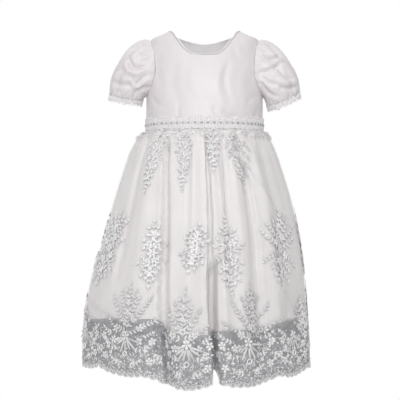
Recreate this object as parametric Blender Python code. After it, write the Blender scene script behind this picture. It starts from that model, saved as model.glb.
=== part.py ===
# Child's party dress: satin bodice, puff sleeves, and a lace net skirt over a shorter satin skirt.
# It is filled out and hollow, with its neck, cuffs and hem open.
# Metres, +Z up, front towards -Y. The origin is between the shoulders, at mid depth.
import math

import bpy
import numpy as np

COLLECTION = "party_dress"
NECK_POINT_Z = 0.010  # height of the two high points of the shoulders
WALL = 0.0012  # satin and its seams
NET_WALL = 0.0011
SEAM_GAP = 0.0003
LAP = 0.012  # how far the back panels lie over each other
WAIST_Z = -0.160
HEM_Z = -0.556
LINING_INSET = 0.0046  # the satin skirt inside the net one
SCALLOP_DROP = 0.009  # the hem's large scallops
SMALL_GATHERS = 26  # under the waist trim
GATHER_DEPTH = 0.0022
GATHER_LENGTH = 0.050
TRIM_TOP = -0.1425
TRIM_BOTTOM = -0.1645
TRIM_WALL = 0.0014
TRIM_SCALLOPS = 60
TRIM_WAVE = 0.0012
CUFF_TRIM_WIDTH = 0.0085
CUFF_WAVE = 0.0011
SLEEVE_GATHERS = 9
ARMHOLE_STEPS = 20  # edges round each armhole, which the sleeve's own points halve
CUFF_GATHERS = 9
BUTTON_RADIUS = 0.0048
BUTTON_THICKNESS = 0.0022

# The bodice's form at each height: half width, front depth, back depth.
BODY_COLUMNS = ("z", "half_width", "front", "back")
BODY = (
    (0.010, 0.0570, 0.034, 0.034),
    (0.004, 0.0700, 0.038, 0.038),
    (-0.007, 0.0915, 0.045, 0.046),
    (-0.036, 0.0940, 0.056, 0.057),
    (-0.070, 0.0955, 0.065, 0.064),
    (-0.102, 0.0985, 0.071, 0.067),
    (-0.130, 0.0990, 0.076, 0.068),
    (-0.170, 0.0990, 0.080, 0.070),
)

# Neckline: degrees round from the front centre, and height.
NECK_COLUMNS = ("degrees", "z")
NECK = (
    (0.0, -0.0368),
    (10.8, -0.0362),
    (15.9, -0.0326),
    (22.7, -0.0237),
    (31.4, -0.0068),
    (38.0, -0.0005),
    (48.0, 0.0038),
    (61.0, 0.0072),
    (90.0, 0.0100),
    (118.0, 0.0075),
    (132.0, 0.0048),
    (146.0, 0.0018),
    (160.0, -0.0016),
    (170.0, -0.0045),
    (180.0, -0.0060),
)

# Right armhole, a closed loop from the shoulder tip down the front, under the arm and up the back.
ARMHOLE_COLUMNS = ("degrees", "z")
ARMHOLE = (
    (90.0, -0.0070),
    (73.0, -0.0150),
    (64.0, -0.0330),
    (60.0, -0.0600),
    (65.0, -0.0850),
    (76.0, -0.0990),
    (90.0, -0.1030),
    (104.0, -0.0990),
    (114.0, -0.0850),
    (118.0, -0.0600),
    (115.0, -0.0330),
    (106.0, -0.0150),
)

# Skirt rings, filled out: left and right edge, front and back depth.
SKIRT_COLUMNS = ("z", "left", "right", "front", "back")
SKIRT = (
    (-0.1603, -0.0990, 0.0990, 0.0790, 0.0694),
    (-0.1655, -0.0994, 0.0996, 0.0795, 0.0698),
    (-0.1720, -0.1120, 0.1090, 0.0880, 0.0780),
    (-0.1860, -0.1220, 0.1185, 0.0960, 0.0880),
    (-0.2230, -0.1370, 0.1320, 0.1090, 0.1030),
    (-0.2840, -0.1560, 0.1500, 0.1250, 0.1200),
    (-0.3450, -0.1730, 0.1620, 0.1390, 0.1340),
    (-0.4060, -0.1920, 0.1700, 0.1510, 0.1470),
    (-0.4680, -0.2030, 0.1745, 0.1610, 0.1570),
    (-0.5560, -0.2060, 0.1785, 0.1690, 0.1640),
)

# Folds: degrees and half width at waist and hem, heights where each starts and ends,
# and depth at both ends. A positive depth stands out.
FOLD_COLUMNS = ("top_at", "hem_at", "top_width", "hem_width", "start_z", "end_z", "top_depth", "hem_depth")
FOLDS = (
    (-76.0, -74.0, 9.0, 8.0, -0.170, -0.600, 0.0020, 0.0040),
    (-52.0, -60.0, 6.0, 8.0, -0.166, -0.430, -0.0060, -0.0070),
    (-36.0, -41.0, 8.0, 11.0, -0.168, -0.600, 0.0040, 0.0040),
    (-24.0, -22.0, 4.5, 4.0, -0.166, -0.600, -0.0060, -0.0130),
    (-13.0, -8.0, 7.0, 11.0, -0.168, -0.600, 0.0040, 0.0110),
    (-8.0, -5.0, 3.0, 4.0, -0.170, -0.480, -0.0030, -0.0040),
    (3.0, 12.7, 2.8, 3.0, -0.166, -0.600, -0.0070, -0.0400),
    (11.0, 20.0, 5.0, 6.0, -0.168, -0.600, 0.0040, 0.0080),
    (23.5, 29.0, 5.0, 5.0, -0.166, -0.600, -0.0090, -0.0100),
    (37.0, 42.0, 7.0, 9.0, -0.168, -0.600, 0.0040, 0.0080),
    (53.0, 57.0, 7.0, 7.0, -0.166, -0.480, -0.0060, -0.0060),
    (72.0, 72.0, 8.0, 8.0, -0.170, -0.600, 0.0030, 0.0050),
    (97.0, 99.0, 7.0, 8.0, -0.166, -0.600, -0.0050, -0.0070),
    (114.0, 118.0, 8.0, 10.0, -0.168, -0.600, 0.0040, 0.0060),
    (133.0, 136.0, 5.0, 5.5, -0.166, -0.600, -0.0060, -0.0130),
    (151.0, 154.0, 8.0, 9.0, -0.168, -0.600, 0.0040, 0.0080),
    (170.0, 172.0, 4.5, 4.5, -0.166, -0.600, -0.0070, -0.0180),
    (189.0, 190.0, 8.0, 9.0, -0.168, -0.600, 0.0040, 0.0080),
    (208.0, 209.0, 5.0, 5.5, -0.166, -0.600, -0.0060, -0.0120),
    (227.0, 228.0, 8.0, 10.0, -0.168, -0.600, 0.0040, 0.0070),
    (246.0, 247.0, 6.0, 6.5, -0.166, -0.600, -0.0060, -0.0110),
    (264.0, 265.0, 7.0, 8.0, -0.168, -0.600, 0.0020, 0.0040),
)

# The hem's level round the skirt: degrees, and how far it lifts. The pleat draws it up in a narrow stretch.
HEM_COLUMNS = ("degrees", "lift")
HEM_LIFT = (
    (-180.0, 0.002),
    (-110.0, 0.009),
    (-88.0, 0.014),
    (-60.0, 0.013),
    (-30.0, 0.012),
    (-18.0, 0.000),
    (-6.0, -0.003),
    (28.0, -0.001),
    (46.0, 0.003),
    (66.0, 0.007),
    (90.0, 0.006),
    (130.0, 0.002),
    (180.0, 0.002),
)
PLEAT_AT = 12.7
PLEAT_LIFT = 0.018

# Where the hem's large scallops meet, in degrees round.
SCALLOP_EDGES = (-87.0, -58.0, -22.0, 12.7, 46.0, 72.0, 103.0, 136.0, 172.0, 209.0, 243.0)

# Sleeves: centre of the cuff's ring, its reach outwards and forwards with their drop,
# and how full the puff is.
CUFF_COLUMNS = ("centre_x", "centre_y", "centre_z", "out", "out_rise", "front", "front_drop", "puff")
CUFFS = {
    "left": (0.1325, -0.0010, -0.1010, 0.0285, 0.0055, 0.0300, 0.0060, 0.95),
    "right": (0.1335, -0.0010, -0.1040, 0.0280, 0.0120, 0.0300, 0.0070, 0.84),
}

# Rows from the shoulder to the hem of each sleeve, as shares of its length.
SLEEVE_ROWS = (0.0, 0.08, 0.2, 0.34, 0.48, 0.62, 0.76, 0.9, 1.0)

# Heights of the skirt's rows, and of the satin skirt's.
SKIRT_ROWS = (
    -0.1603, -0.1655, -0.1690, -0.1740, -0.1840, -0.2000, -0.2240, -0.2560, -0.2950,
    -0.3370, -0.3800, -0.4250, -0.4700, -0.5100, -0.5380, -0.5560,
)
LINING_ROWS = (
    -0.1603, -0.1655, -0.1690, -0.1740, -0.1840, -0.2120, -0.2560, -0.3100, -0.3700, -0.4300, -0.4840,
)

BUTTON_HEIGHTS = (-0.0180, -0.0570, -0.0960, -0.1320)

COLOURS = {
    "satin": ((0.83, 0.81, 0.80), 0.45),
    "net": ((0.72, 0.72, 0.74), 0.75),
    "lining": ((0.80, 0.80, 0.78), 0.50),
    "lace": ((0.70, 0.70, 0.71), 0.70),
    "button": ((0.86, 0.85, 0.83), 0.25),
}


def clear_scene():
    for item in list(bpy.data.objects):
        bpy.data.objects.remove(item, do_unlink=True)


def smooth_curve(table, column, at):
    """Cubic curve through a table's rows, read at the first column."""
    rows = sorted(table, key=lambda row: row[0])
    x = np.array([row[0] for row in rows])
    y = np.array([row[column] for row in rows])
    at = np.clip(np.asarray(at, float), x[0], x[-1])
    slopes = np.diff(y) / np.diff(x)
    product, total = slopes[1:] * slopes[:-1], slopes[1:] + slopes[:-1]
    same_way = product > 0
    middle = np.where(same_way, 2 * product / np.where(same_way, total, 1.0), 0.0)
    tangent = np.concatenate([[slopes[0]], middle, [slopes[-1]]])
    k = np.clip(np.searchsorted(x, at) - 1, 0, len(x) - 2)
    width = x[k + 1] - x[k]
    t = (at - x[k]) / width
    return (
        (2 * t**3 - 3 * t**2 + 1) * y[k]
        + (t**3 - 2 * t**2 + t) * width * tangent[k]
        + (3 * t**2 - 2 * t**3) * y[k + 1]
        + (t**3 - t**2) * width * tangent[k + 1]
    )


def body_point(degrees, z):
    """The bodice's outer surface: an ellipse at each height, deeper or shallower at the back."""
    degrees, z = np.broadcast_arrays(np.asarray(degrees, float), np.asarray(z, float))
    turn = np.radians(degrees)
    depth = np.where(np.abs(degrees) <= 90, smooth_curve(BODY, 2, z), smooth_curve(BODY, 3, z))
    return np.stack([smooth_curve(BODY, 1, z) * np.sin(turn), -depth * np.cos(turn), z], axis=-1)


def unit(vectors):
    return vectors / np.maximum(np.linalg.norm(vectors, axis=-1, keepdims=True), 1e-12)


def body_normal(degrees, z):
    across = body_point(degrees + 0.2, z) - body_point(degrees - 0.2, z)
    up = body_point(degrees, z + 0.0005) - body_point(degrees, z - 0.0005)
    return unit(np.cross(across, up))


def armhole_curve(share):
    """Right armhole at shares of its loop, 0 at the shoulder tip and 0.5 under the arm."""
    count = len(ARMHOLE)
    loop = np.array(ARMHOLE + ARMHOLE + ARMHOLE)
    at = (np.asarray(share, float) % 1.0) * count + count
    k = np.floor(at).astype(int)
    t = (at - k)[..., None]
    a, b, c, d = loop[k - 1], loop[k], loop[k + 1], loop[k + 2]
    return 0.5 * (2 * b + (c - a) * t + (2 * a - 5 * b + 4 * c - d) * t**2 + (3 * b - a - 3 * c + d) * t**3)


def neck_curve(degrees):
    return smooth_curve(NECK, 1, np.abs(degrees))


def grid_normals(points, closed):
    """Outward normals of a grid whose first axis runs round and second runs down."""
    if closed:
        across = np.roll(points, -1, 0) - np.roll(points, 1, 0)
    else:
        across = np.gradient(points, axis=0)
    return unit(np.cross(np.gradient(points, axis=1), across))


def wall_object(name, outer, wall, material, closed=False, inner=None):
    """A closed wall from a grid of outer points; closed joins its last column to its first."""
    if inner is None:
        inner = outer - grid_normals(outer, closed) * wall
    columns, rows = outer.shape[:2]
    vertices = np.concatenate([outer.reshape(-1, 3), inner.reshape(-1, 3)])
    shift = columns * rows
    faces = []
    for i in range(columns if closed else columns - 1):
        j = (i + 1) % columns
        for k in range(rows - 1):
            a, b, c, d = i * rows + k, i * rows + k + 1, j * rows + k + 1, j * rows + k
            faces += [(a, b, c, d), (shift + a, shift + d, shift + c, shift + b)]
        top, under = i * rows, j * rows
        faces += [(top, under, shift + under, shift + top)]
        top, under = i * rows + rows - 1, j * rows + rows - 1
        faces += [(top, shift + top, shift + under, under)]
    if not closed:
        for k in range(rows - 1):
            faces += [(k, shift + k, shift + k + 1, k + 1)]
            a = (columns - 1) * rows + k
            faces += [(a, a + 1, shift + a + 1, shift + a)]
    mesh = bpy.data.meshes.new(name)
    mesh.from_pydata(vertices.tolist(), [], faces)
    mesh.update()
    mesh.shade_smooth()
    mesh.set_sharp_from_angle(angle=math.radians(50))
    item = bpy.data.objects.new(name, mesh)
    bpy.data.collections[COLLECTION].objects.link(item)
    mesh.materials.append(new_material(name, material))
    return item


def new_material(name, kind):
    colour, roughness = COLOURS[kind]
    material = bpy.data.materials.new(name + "_" + kind)
    material.use_nodes = True
    shader = material.node_tree.nodes["Principled BSDF"]
    shader.inputs["Base Color"].default_value = (*colour, 1.0)
    shader.inputs["Roughness"].default_value = roughness
    shader.inputs["Metallic"].default_value = 0.0
    return material


def coons(top, bottom, left, right):
    """Fills a four-sided outline; top and bottom run across, left and right run down."""
    u = np.linspace(0, 1, len(top))[:, None, None]
    v = np.linspace(0, 1, len(left))[None, :, None]
    corners = (
        (1 - u) * (1 - v) * top[0] + u * (1 - v) * top[-1] + (1 - u) * v * bottom[0] + u * v * bottom[-1]
    )
    return (1 - v) * top[:, None] + v * bottom[:, None] + (1 - u) * left[None] + u * right[None] - corners


def side_outline(steps_side, front):
    """Armhole and side seam of the right front or back, from the shoulder tip to the waist."""
    share = np.linspace(0, 0.5, ARMHOLE_STEPS // 2 + 1)
    hole = armhole_curve(share if front else 1.0 - share)
    side_z = np.linspace(ARMHOLE[6][1], WAIST_Z, steps_side + 1)[1:]
    side = np.stack([np.full(steps_side, 90.0), side_z], axis=-1)
    return np.concatenate([hole, side])


def shoulder_line(steps):
    """From the shoulder tip up to the neck point, along the crest."""
    return np.stack([np.full(steps + 1, 90.0), np.linspace(ARMHOLE[0][1], NECK_POINT_Z, steps + 1)], axis=-1)


def make_front():
    right = side_outline(3, True)
    left = right * np.array([-1.0, 1.0])
    shoulder = shoulder_line(3)
    turn = np.linspace(90, -90, 19)
    turn = 90 * np.sign(turn) * np.abs(turn / 90) ** 1.25
    neck = np.stack([turn, neck_curve(turn)], axis=-1)
    top = np.concatenate([shoulder, neck[1:-1], shoulder[::-1] * np.array([-1.0, 1.0])])
    across = np.linspace(90, -90, len(top))
    bottom = np.stack([across, np.full(len(top), WAIST_Z)], axis=-1)
    flat = coons(top[::-1], bottom[::-1], left, right)
    points = body_point(flat[..., 0], flat[..., 1])
    inner = points - body_normal(flat[..., 0], flat[..., 1]) * WALL
    shift = np.array([0.0, -SEAM_GAP / 2 - 0.00005, 0.0])
    wall_object("bodice_front", points + shift, WALL, "satin", inner=inner + shift)


def make_back(name, side, under):
    """One back panel, whose centre edge passes the middle; the under one steps inwards there."""
    outline = side_outline(3, False)
    shoulder = shoulder_line(3)
    lap = math.degrees(LAP / 2 / BODY[-1][1])
    turn = np.concatenate([np.linspace(90, 180 - lap - 4, 8)[1:], [180 - lap - 1.2, 180.0, 180 + lap]])
    neck = np.stack([turn, smooth_curve(NECK, 1, np.minimum(turn, 360 - turn))], axis=-1)
    top = np.concatenate([shoulder, neck])
    across = np.concatenate([np.linspace(90, 180 - lap - 4, len(top) - 3), turn[-3:]])
    bottom = np.stack([across, np.full(len(top), WAIST_Z)], axis=-1)
    edge_z = np.linspace(neck[-1, 1], WAIST_Z, len(outline))
    edge = np.stack([np.full(len(outline), turn[-1]), edge_z], axis=-1)
    flat = coons(top, bottom, outline, edge)
    points = body_point(flat[..., 0], flat[..., 1])
    normal = body_normal(flat[..., 0], flat[..., 1])
    if under:
        step = np.clip((flat[..., 0] - (180 - lap - 3.2)) / 2.0, 0, 1)
        points = points - normal * ((WALL + SEAM_GAP + 0.0004) * step)[..., None]
    inner = points - normal * WALL
    mirror = np.array([side, 1.0, 1.0])
    shift = np.array([0.0, SEAM_GAP / 2 + 0.00005, 0.0])
    points, inner = points * mirror + shift, inner * mirror + shift
    if side < 0:
        points, inner = points[::-1], inner[::-1]
    wall_object(name, points, WALL, "satin", inner=inner)


def bump(offset):
    """A soft ridge, 1 in its middle and 0 from 1 outwards."""
    return np.where(np.abs(offset) < 1, np.cos(np.clip(offset, -1, 1) * math.pi / 2) ** 2, 0.0)


def wrap(degrees):
    return (np.asarray(degrees) + 180.0) % 360.0 - 180.0


def fold_depth(degrees, z):
    """How far the skirt's folds stand out at each place."""
    total = np.zeros(np.broadcast(degrees, z).shape)
    for top_at, hem_at, top_width, hem_width, start_z, end_z, top_depth, hem_depth in FOLDS:
        down = np.clip((WAIST_Z - z) / (WAIST_Z - HEM_Z), 0, 1)
        at = top_at + (hem_at - top_at) * down
        width = top_width + (hem_width - top_width) * down
        fade = np.clip((start_z - z) / 0.030, 0, 1) * np.clip((z - end_z) / 0.060, 0, 1)
        depth = (top_depth + (hem_depth - top_depth) * down) * fade
        total = total + depth * bump(wrap(degrees - at) / width)
    return total


def gather_depth(degrees, z):
    """Small gathers under the trim, uneven in depth, which fade downwards."""
    start = np.clip((WAIST_Z - 0.006 - z) / 0.010, 0, 1)
    fade = np.clip(1 - (WAIST_Z - z) / GATHER_LENGTH, 0, 1)
    turn = np.radians(degrees)
    uneven = 0.75 + 0.25 * np.sin(3 * turn + 0.7)
    return GATHER_DEPTH * start * fade * uneven * np.cos(SMALL_GATHERS * turn + 0.9 * np.sin(2 * turn))


def skirt_radius(degrees, z):
    """Distance from the ring's centre to the skirt's smooth form, an ellipse with unlike halves."""
    turn = np.radians(degrees)
    half = (smooth_curve(SKIRT, 2, z) - smooth_curve(SKIRT, 1, z)) / 2
    depth = np.where(np.cos(turn) > 0, smooth_curve(SKIRT, 3, z), smooth_curve(SKIRT, 4, z))
    return 1 / np.sqrt((np.sin(turn) / half) ** 2 + (np.cos(turn) / depth) ** 2)


def skirt_place(degrees, z, radius):
    turn = np.radians(degrees)
    centre = (smooth_curve(SKIRT, 2, z) + smooth_curve(SKIRT, 1, z)) / 2
    return np.stack([centre + radius * np.sin(turn), -radius * np.cos(turn), z], axis=-1)


def scallop_drop(degrees):
    """The hem's large scallops, 0 where two meet and 1 at each one's middle."""
    edges = np.array(SCALLOP_EDGES + (SCALLOP_EDGES[0] + 360.0,))
    at = (np.asarray(degrees, float) - edges[0]) % 360.0 + edges[0]
    k = np.clip(np.searchsorted(edges, at, side="right") - 1, 0, len(edges) - 2)
    return np.sin(math.pi * (at - edges[k]) / (edges[k + 1] - edges[k])) ** 0.8


def fold_columns(start, end, count):
    """Columns spread round, closer together where a fold is narrow."""
    fine = np.linspace(start, end, 2000)
    density = np.ones(fine.size)
    for fold in FOLDS:
        density += 1.6 * abs(fold[7]) / 0.010 * bump(wrap(fine - fold[1]) / (fold[3] * 1.5)) * 5.0 / fold[3]
    total = np.concatenate([[0.0], np.cumsum((density[1:] + density[:-1]) / 2)])
    return np.interp(np.linspace(0, total[-1], count + 1), total, fine)


def end_columns(columns):
    """One more column past each end, which only gives the end columns their normals."""
    return np.concatenate([[columns[0] - 1.0], columns, [columns[-1] + 1.0]])


def hem_change(degrees):
    """How far the hem lies above or below its level."""
    lift = smooth_curve(HEM_LIFT, 1, wrap(degrees)) + PLEAT_LIFT * bump(wrap(degrees - PLEAT_AT) / 4.5)
    return lift - SCALLOP_DROP * scallop_drop(degrees)


def net_radius(degrees, z):
    return skirt_radius(degrees, z) + fold_depth(degrees, z) + gather_depth(degrees, z)


def make_net_skirt(name, start, end, count):
    columns = end_columns(fold_columns(start, end, count))
    level = np.array(SKIRT_ROWS)
    degrees, z = np.meshgrid(columns, level, indexing="ij")
    z = z + hem_change(columns)[:, None] * ((WAIST_Z - level) / (WAIST_Z - HEM_Z)) ** 3
    outer = skirt_place(degrees, z, net_radius(degrees, np.maximum(z, HEM_Z)))
    inner = outer - grid_normals(outer, False) * NET_WALL
    wall_object(name, outer[1:-1], NET_WALL, "net", inner=inner[1:-1])


def lining_radius(degrees, z):
    """The satin skirt keeps inside the net one: the least radius near each place, less the inset."""
    around = np.array([-3.0, -2.0, -1.0, 0.0, 1.0, 2.0, 3.0])
    near = net_radius(degrees[..., None] + around, z[..., None])
    least = NET_WALL + SEAM_GAP + 0.0002
    share = np.clip((WAIST_Z - 0.0050 - z) / 0.008, 0, 1)
    return near.min(axis=-1) - least - (LINING_INSET - least) * share


def make_lining(name, start, end, count):
    columns = end_columns(fold_columns(start, end, count))
    degrees, z = np.meshgrid(columns, np.array(LINING_ROWS), indexing="ij")
    outer = skirt_place(degrees, z, lining_radius(degrees, z))
    inner = outer - grid_normals(outer, False) * WALL
    wall_object(name, outer[1:-1], WALL, "lining", inner=inner[1:-1])


def sleeve_grid(side, count):
    """Outer points of a puff sleeve, from the armhole to the cuff."""
    cuff_x, cuff_y, cuff_z, out, out_rise, front, front_drop, puff = CUFFS[side]
    share = -np.arange(count) / count
    hole = armhole_curve(-np.arange(ARMHOLE_STEPS) / ARMHOLE_STEPS)
    edge = body_point(hole[:, 0], hole[:, 1])
    normal = body_normal(hole[:, 0], hole[:, 1])
    along = unit(np.roll(edge, -1, 0) - np.roll(edge, 1, 0))
    away = np.cross(normal, along)
    away *= np.sign(np.sum(away * (edge.mean(axis=0) - edge), axis=-1, keepdims=True))
    edge = edge + away * (SEAM_GAP + 0.0003)
    at = (-share * ARMHOLE_STEPS)[:, None]
    low = np.floor(at + 1e-9).astype(int)
    part = at - low
    start = (1 - part) * edge[low[:, 0]] + part * edge[(low[:, 0] + 1) % ARMHOLE_STEPS]
    turn = 2 * math.pi * share
    cos, sin = np.cos(turn), np.sin(turn)
    end = np.stack(
        [cuff_x + out * cos, cuff_y - front * sin, cuff_z + out_rise * cos - front_drop * sin], axis=-1
    )
    leave = np.stack([0.0165 + 0.0135 * cos, -0.014 * sin, 0.0055 * (1 + cos)], axis=-1)
    arrive = np.stack([0.0015 * cos, -0.012 * sin, 0.021 + 0.018 * cos], axis=-1)
    t = np.array(SLEEVE_ROWS)[None, :, None]
    a, b = start[:, None], (start + leave * puff)[:, None]
    c, d = (end + arrive * puff)[:, None], end[:, None]
    grid = (1 - t) ** 3 * a + 3 * (1 - t) ** 2 * t * b + 3 * (1 - t) * t**2 * c + t**3 * d
    normals = grid_normals(grid, True)
    t = t[..., 0]
    cap = np.clip(0.5 + 0.7 * cos, 0, 1)[:, None]
    top = 0.0032 * np.sin(math.pi * np.clip(t / 0.62, 0, 1)) * cap * np.cos(SLEEVE_GATHERS * turn)[:, None]
    fade = np.sin(math.pi * np.clip((t - 0.5) / 0.46, 0, 1)) * np.clip(0.7 + 0.5 * cos, 0, 1)[:, None]
    cuff = 0.0018 * fade * np.cos(CUFF_GATHERS * turn + 1.0)[:, None]
    return grid + normals * (top + cuff)[..., None]


def make_sleeve(side, count):
    grid = sleeve_grid(side, count)
    mirror = np.array([-1.0 if side == "left" else 1.0, 1.0, 1.0])
    grid = grid * mirror
    if side == "left":
        grid = grid[::-1]
    wall_object("sleeve_" + side, grid, WALL, "satin", closed=True)


def make_cuff_trim(side):
    """Lace sewn edge to edge to the sleeve's end, with a scalloped lower edge."""
    count = 2 * ARMHOLE_STEPS
    grid = sleeve_grid(side, count)
    normal = grid_normals(grid, True)[:, -1]
    end = grid[:, -1]
    run = unit(grid[:, -1] - grid[:, -2])
    down = unit(0.3 * run + 0.7 * unit(run.mean(axis=0)))
    normal = unit(normal - down * np.sum(normal * down, axis=-1, keepdims=True))
    wave = np.where(np.arange(count) % 2 == 0, 1.0, -1.0)[:, None]
    upper = end + down * (SEAM_GAP + 0.0004)
    lower = end + down * (CUFF_TRIM_WIDTH + CUFF_WAVE * wave)
    outer = np.stack([upper, lower], axis=1)
    inner = outer - normal[:, None] * TRIM_WALL
    mirror = np.array([-1.0 if side == "left" else 1.0, 1.0, 1.0])
    outer, inner = outer * mirror, inner * mirror
    if side == "left":
        outer, inner = outer[::-1], inner[::-1]
    wall_object("cuff_trim_" + side, outer, TRIM_WALL, "lace", closed=True, inner=inner)


def make_waist_trim():
    """Lace braid round the waist, open at the centre back, with scalloped edges."""
    gap = math.degrees(LAP / 2 / BODY[-1][1]) * 0.25
    degrees = np.linspace(-180 + gap, 180 - gap, TRIM_SCALLOPS * 2 + 1)
    wave = np.where(np.arange(degrees.size) % 2 == 0, -1.0, 1.0) * TRIM_WAVE
    z = np.stack([TRIM_TOP + wave, TRIM_BOTTOM - wave], axis=-1)
    around = np.repeat(degrees[:, None], 2, axis=1)
    points = body_point(around, z)
    normal = body_normal(around, z)
    inner = points + normal * (SEAM_GAP + 0.0007)
    wall_object("waist_trim", inner + normal * TRIM_WALL, TRIM_WALL, "lace", inner=inner)


def make_buttons():
    for number, height in enumerate(BUTTON_HEIGHTS, start=1):
        at = body_point(180.0, height)
        normal = body_normal(180.0, height)
        place = at + normal * (SEAM_GAP + 0.0003 + BUTTON_THICKNESS / 2)
        bpy.ops.mesh.primitive_cylinder_add(
            vertices=16, radius=BUTTON_RADIUS, depth=BUTTON_THICKNESS, location=place
        )
        item = bpy.context.active_object
        item.name = "back_button_" + str(number)
        tilt = math.atan2(normal[2], normal[1])
        item.rotation_euler = (tilt - math.pi / 2, 0.0, 0.0)
        for owner in list(item.users_collection):
            owner.objects.unlink(item)
        bpy.data.collections[COLLECTION].objects.link(item)
        item.data.materials.append(new_material(item.name, "button"))


def main():
    clear_scene()
    if COLLECTION not in bpy.data.collections:
        home = bpy.data.collections.new(COLLECTION)
        bpy.context.scene.collection.children.link(home)
    make_front()
    make_back("bodice_back_left", -1, True)
    make_back("bodice_back_right", 1, False)
    make_buttons()
    make_sleeve("left", 2 * ARMHOLE_STEPS)
    make_sleeve("right", 2 * ARMHOLE_STEPS)
    make_cuff_trim("left")
    make_cuff_trim("right")
    make_waist_trim()
    side = 0.13
    make_net_skirt("net_skirt_front", -90 + side, 90 - side, 52)
    make_net_skirt("net_skirt_back", 90 + side, 270 - side, 48)
    make_lining("satin_skirt_front", -90 + side, 90 - side, 34)
    make_lining("satin_skirt_back", 90 + side, 270 - side, 30)


main()
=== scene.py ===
# Looks of the child's party dress: satin bodice and puff sleeves, jewelled lace waist,
# and an embroidered net skirt over a shorter satin one. Metres, front towards -Y.
import math

import bpy
import numpy as np
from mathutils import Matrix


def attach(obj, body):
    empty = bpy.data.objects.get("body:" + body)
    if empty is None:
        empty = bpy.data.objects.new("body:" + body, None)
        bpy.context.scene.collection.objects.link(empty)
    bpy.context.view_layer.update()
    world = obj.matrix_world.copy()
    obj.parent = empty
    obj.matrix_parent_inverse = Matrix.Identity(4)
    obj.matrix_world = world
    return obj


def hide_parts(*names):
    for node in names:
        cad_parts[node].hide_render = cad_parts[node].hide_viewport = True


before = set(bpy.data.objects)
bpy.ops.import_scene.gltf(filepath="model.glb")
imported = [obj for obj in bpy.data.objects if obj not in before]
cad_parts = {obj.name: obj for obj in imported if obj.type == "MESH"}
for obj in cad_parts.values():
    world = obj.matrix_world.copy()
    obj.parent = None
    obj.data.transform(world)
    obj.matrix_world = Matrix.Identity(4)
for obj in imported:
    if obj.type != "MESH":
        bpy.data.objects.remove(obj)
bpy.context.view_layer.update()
seedNumber = 7

# Sizes of the garment's form: outlines and seams are the solids' own, the walls are thinner.
form = {
    "neckPointZ": 0.010, "waistZ": -0.160, "hemZ": -0.556, "liningHemZ": -0.484,
    "skirtTop": -0.1603, "gatherEnd": -0.200,
    "lap": 0.012, "seamGap": 0.0003, "satinWall": 0.0009, "netWall": 0.00035,
    "gathers": 26, "gatherDepth": 0.0022, "gatherLength": 0.050,
    "scallopDrop": 0.009, "pleatAt": 10.6, "pleatLift": 0.018, "pleatReach": 2.15,
    "trimTop": -0.1425, "trimBottom": -0.1606, "trimWall": 0.0012, "trimScallops": 60, "trimWave": 0.0012,
    "cuffTrimWidth": 0.0085, "cuffWave": 0.0011,
    "sleeveGathers": 9, "cuffGathers": 9,
}

# Half width, front depth and back depth of the bodice at each height.
bodyTable = (
    (0.01, 0.057, 0.034, 0.034), (0.004, 0.07, 0.038, 0.038), (-0.007, 0.0915, 0.045, 0.046),
    (-0.036, 0.094, 0.056, 0.057), (-0.07, 0.0955, 0.065, 0.064), (-0.102, 0.0985, 0.071, 0.067),
    (-0.13, 0.099, 0.076, 0.068), (-0.17, 0.099, 0.08, 0.07),
)
# Neckline: degrees round, height.
neckTable = (
    (0.0, -0.0368), (10.8, -0.0362), (15.9, -0.0326), (22.7, -0.0237), (31.4, -0.0068), (38.0, -0.0005),
    (48.0, 0.0038), (61.0, 0.0072), (90.0, 0.01), (118.0, 0.0075), (132.0, 0.0048), (146.0, 0.0018),
    (160.0, -0.0016), (170.0, -0.0045), (180.0, -0.006),
)
# Right armhole: degrees round, height, from the shoulder tip down the front.
armholeTable = (
    (90.0, -0.007), (73.0, -0.015), (64.0, -0.033), (60.0, -0.06), (65.0, -0.085), (76.0, -0.099),
    (90.0, -0.103), (104.0, -0.099), (114.0, -0.085), (118.0, -0.06), (115.0, -0.033), (106.0, -0.015),
)
# Skirt rings: height, left and right edge, front and back depth.
skirtTable = (
    (-0.1603, -0.099, 0.099, 0.079, 0.0694), (-0.1655, -0.0994, 0.0996, 0.0795, 0.0698),
    (-0.172, -0.112, 0.109, 0.088, 0.078), (-0.186, -0.122, 0.1185, 0.096, 0.088),
    (-0.223, -0.137, 0.132, 0.109, 0.103), (-0.284, -0.156, 0.15, 0.125, 0.12),
    (-0.345, -0.173, 0.162, 0.139, 0.134), (-0.406, -0.192, 0.17, 0.151, 0.147),
    (-0.468, -0.203, 0.1745, 0.161, 0.157), (-0.556, -0.206, 0.1785, 0.169, 0.164),
)
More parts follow.
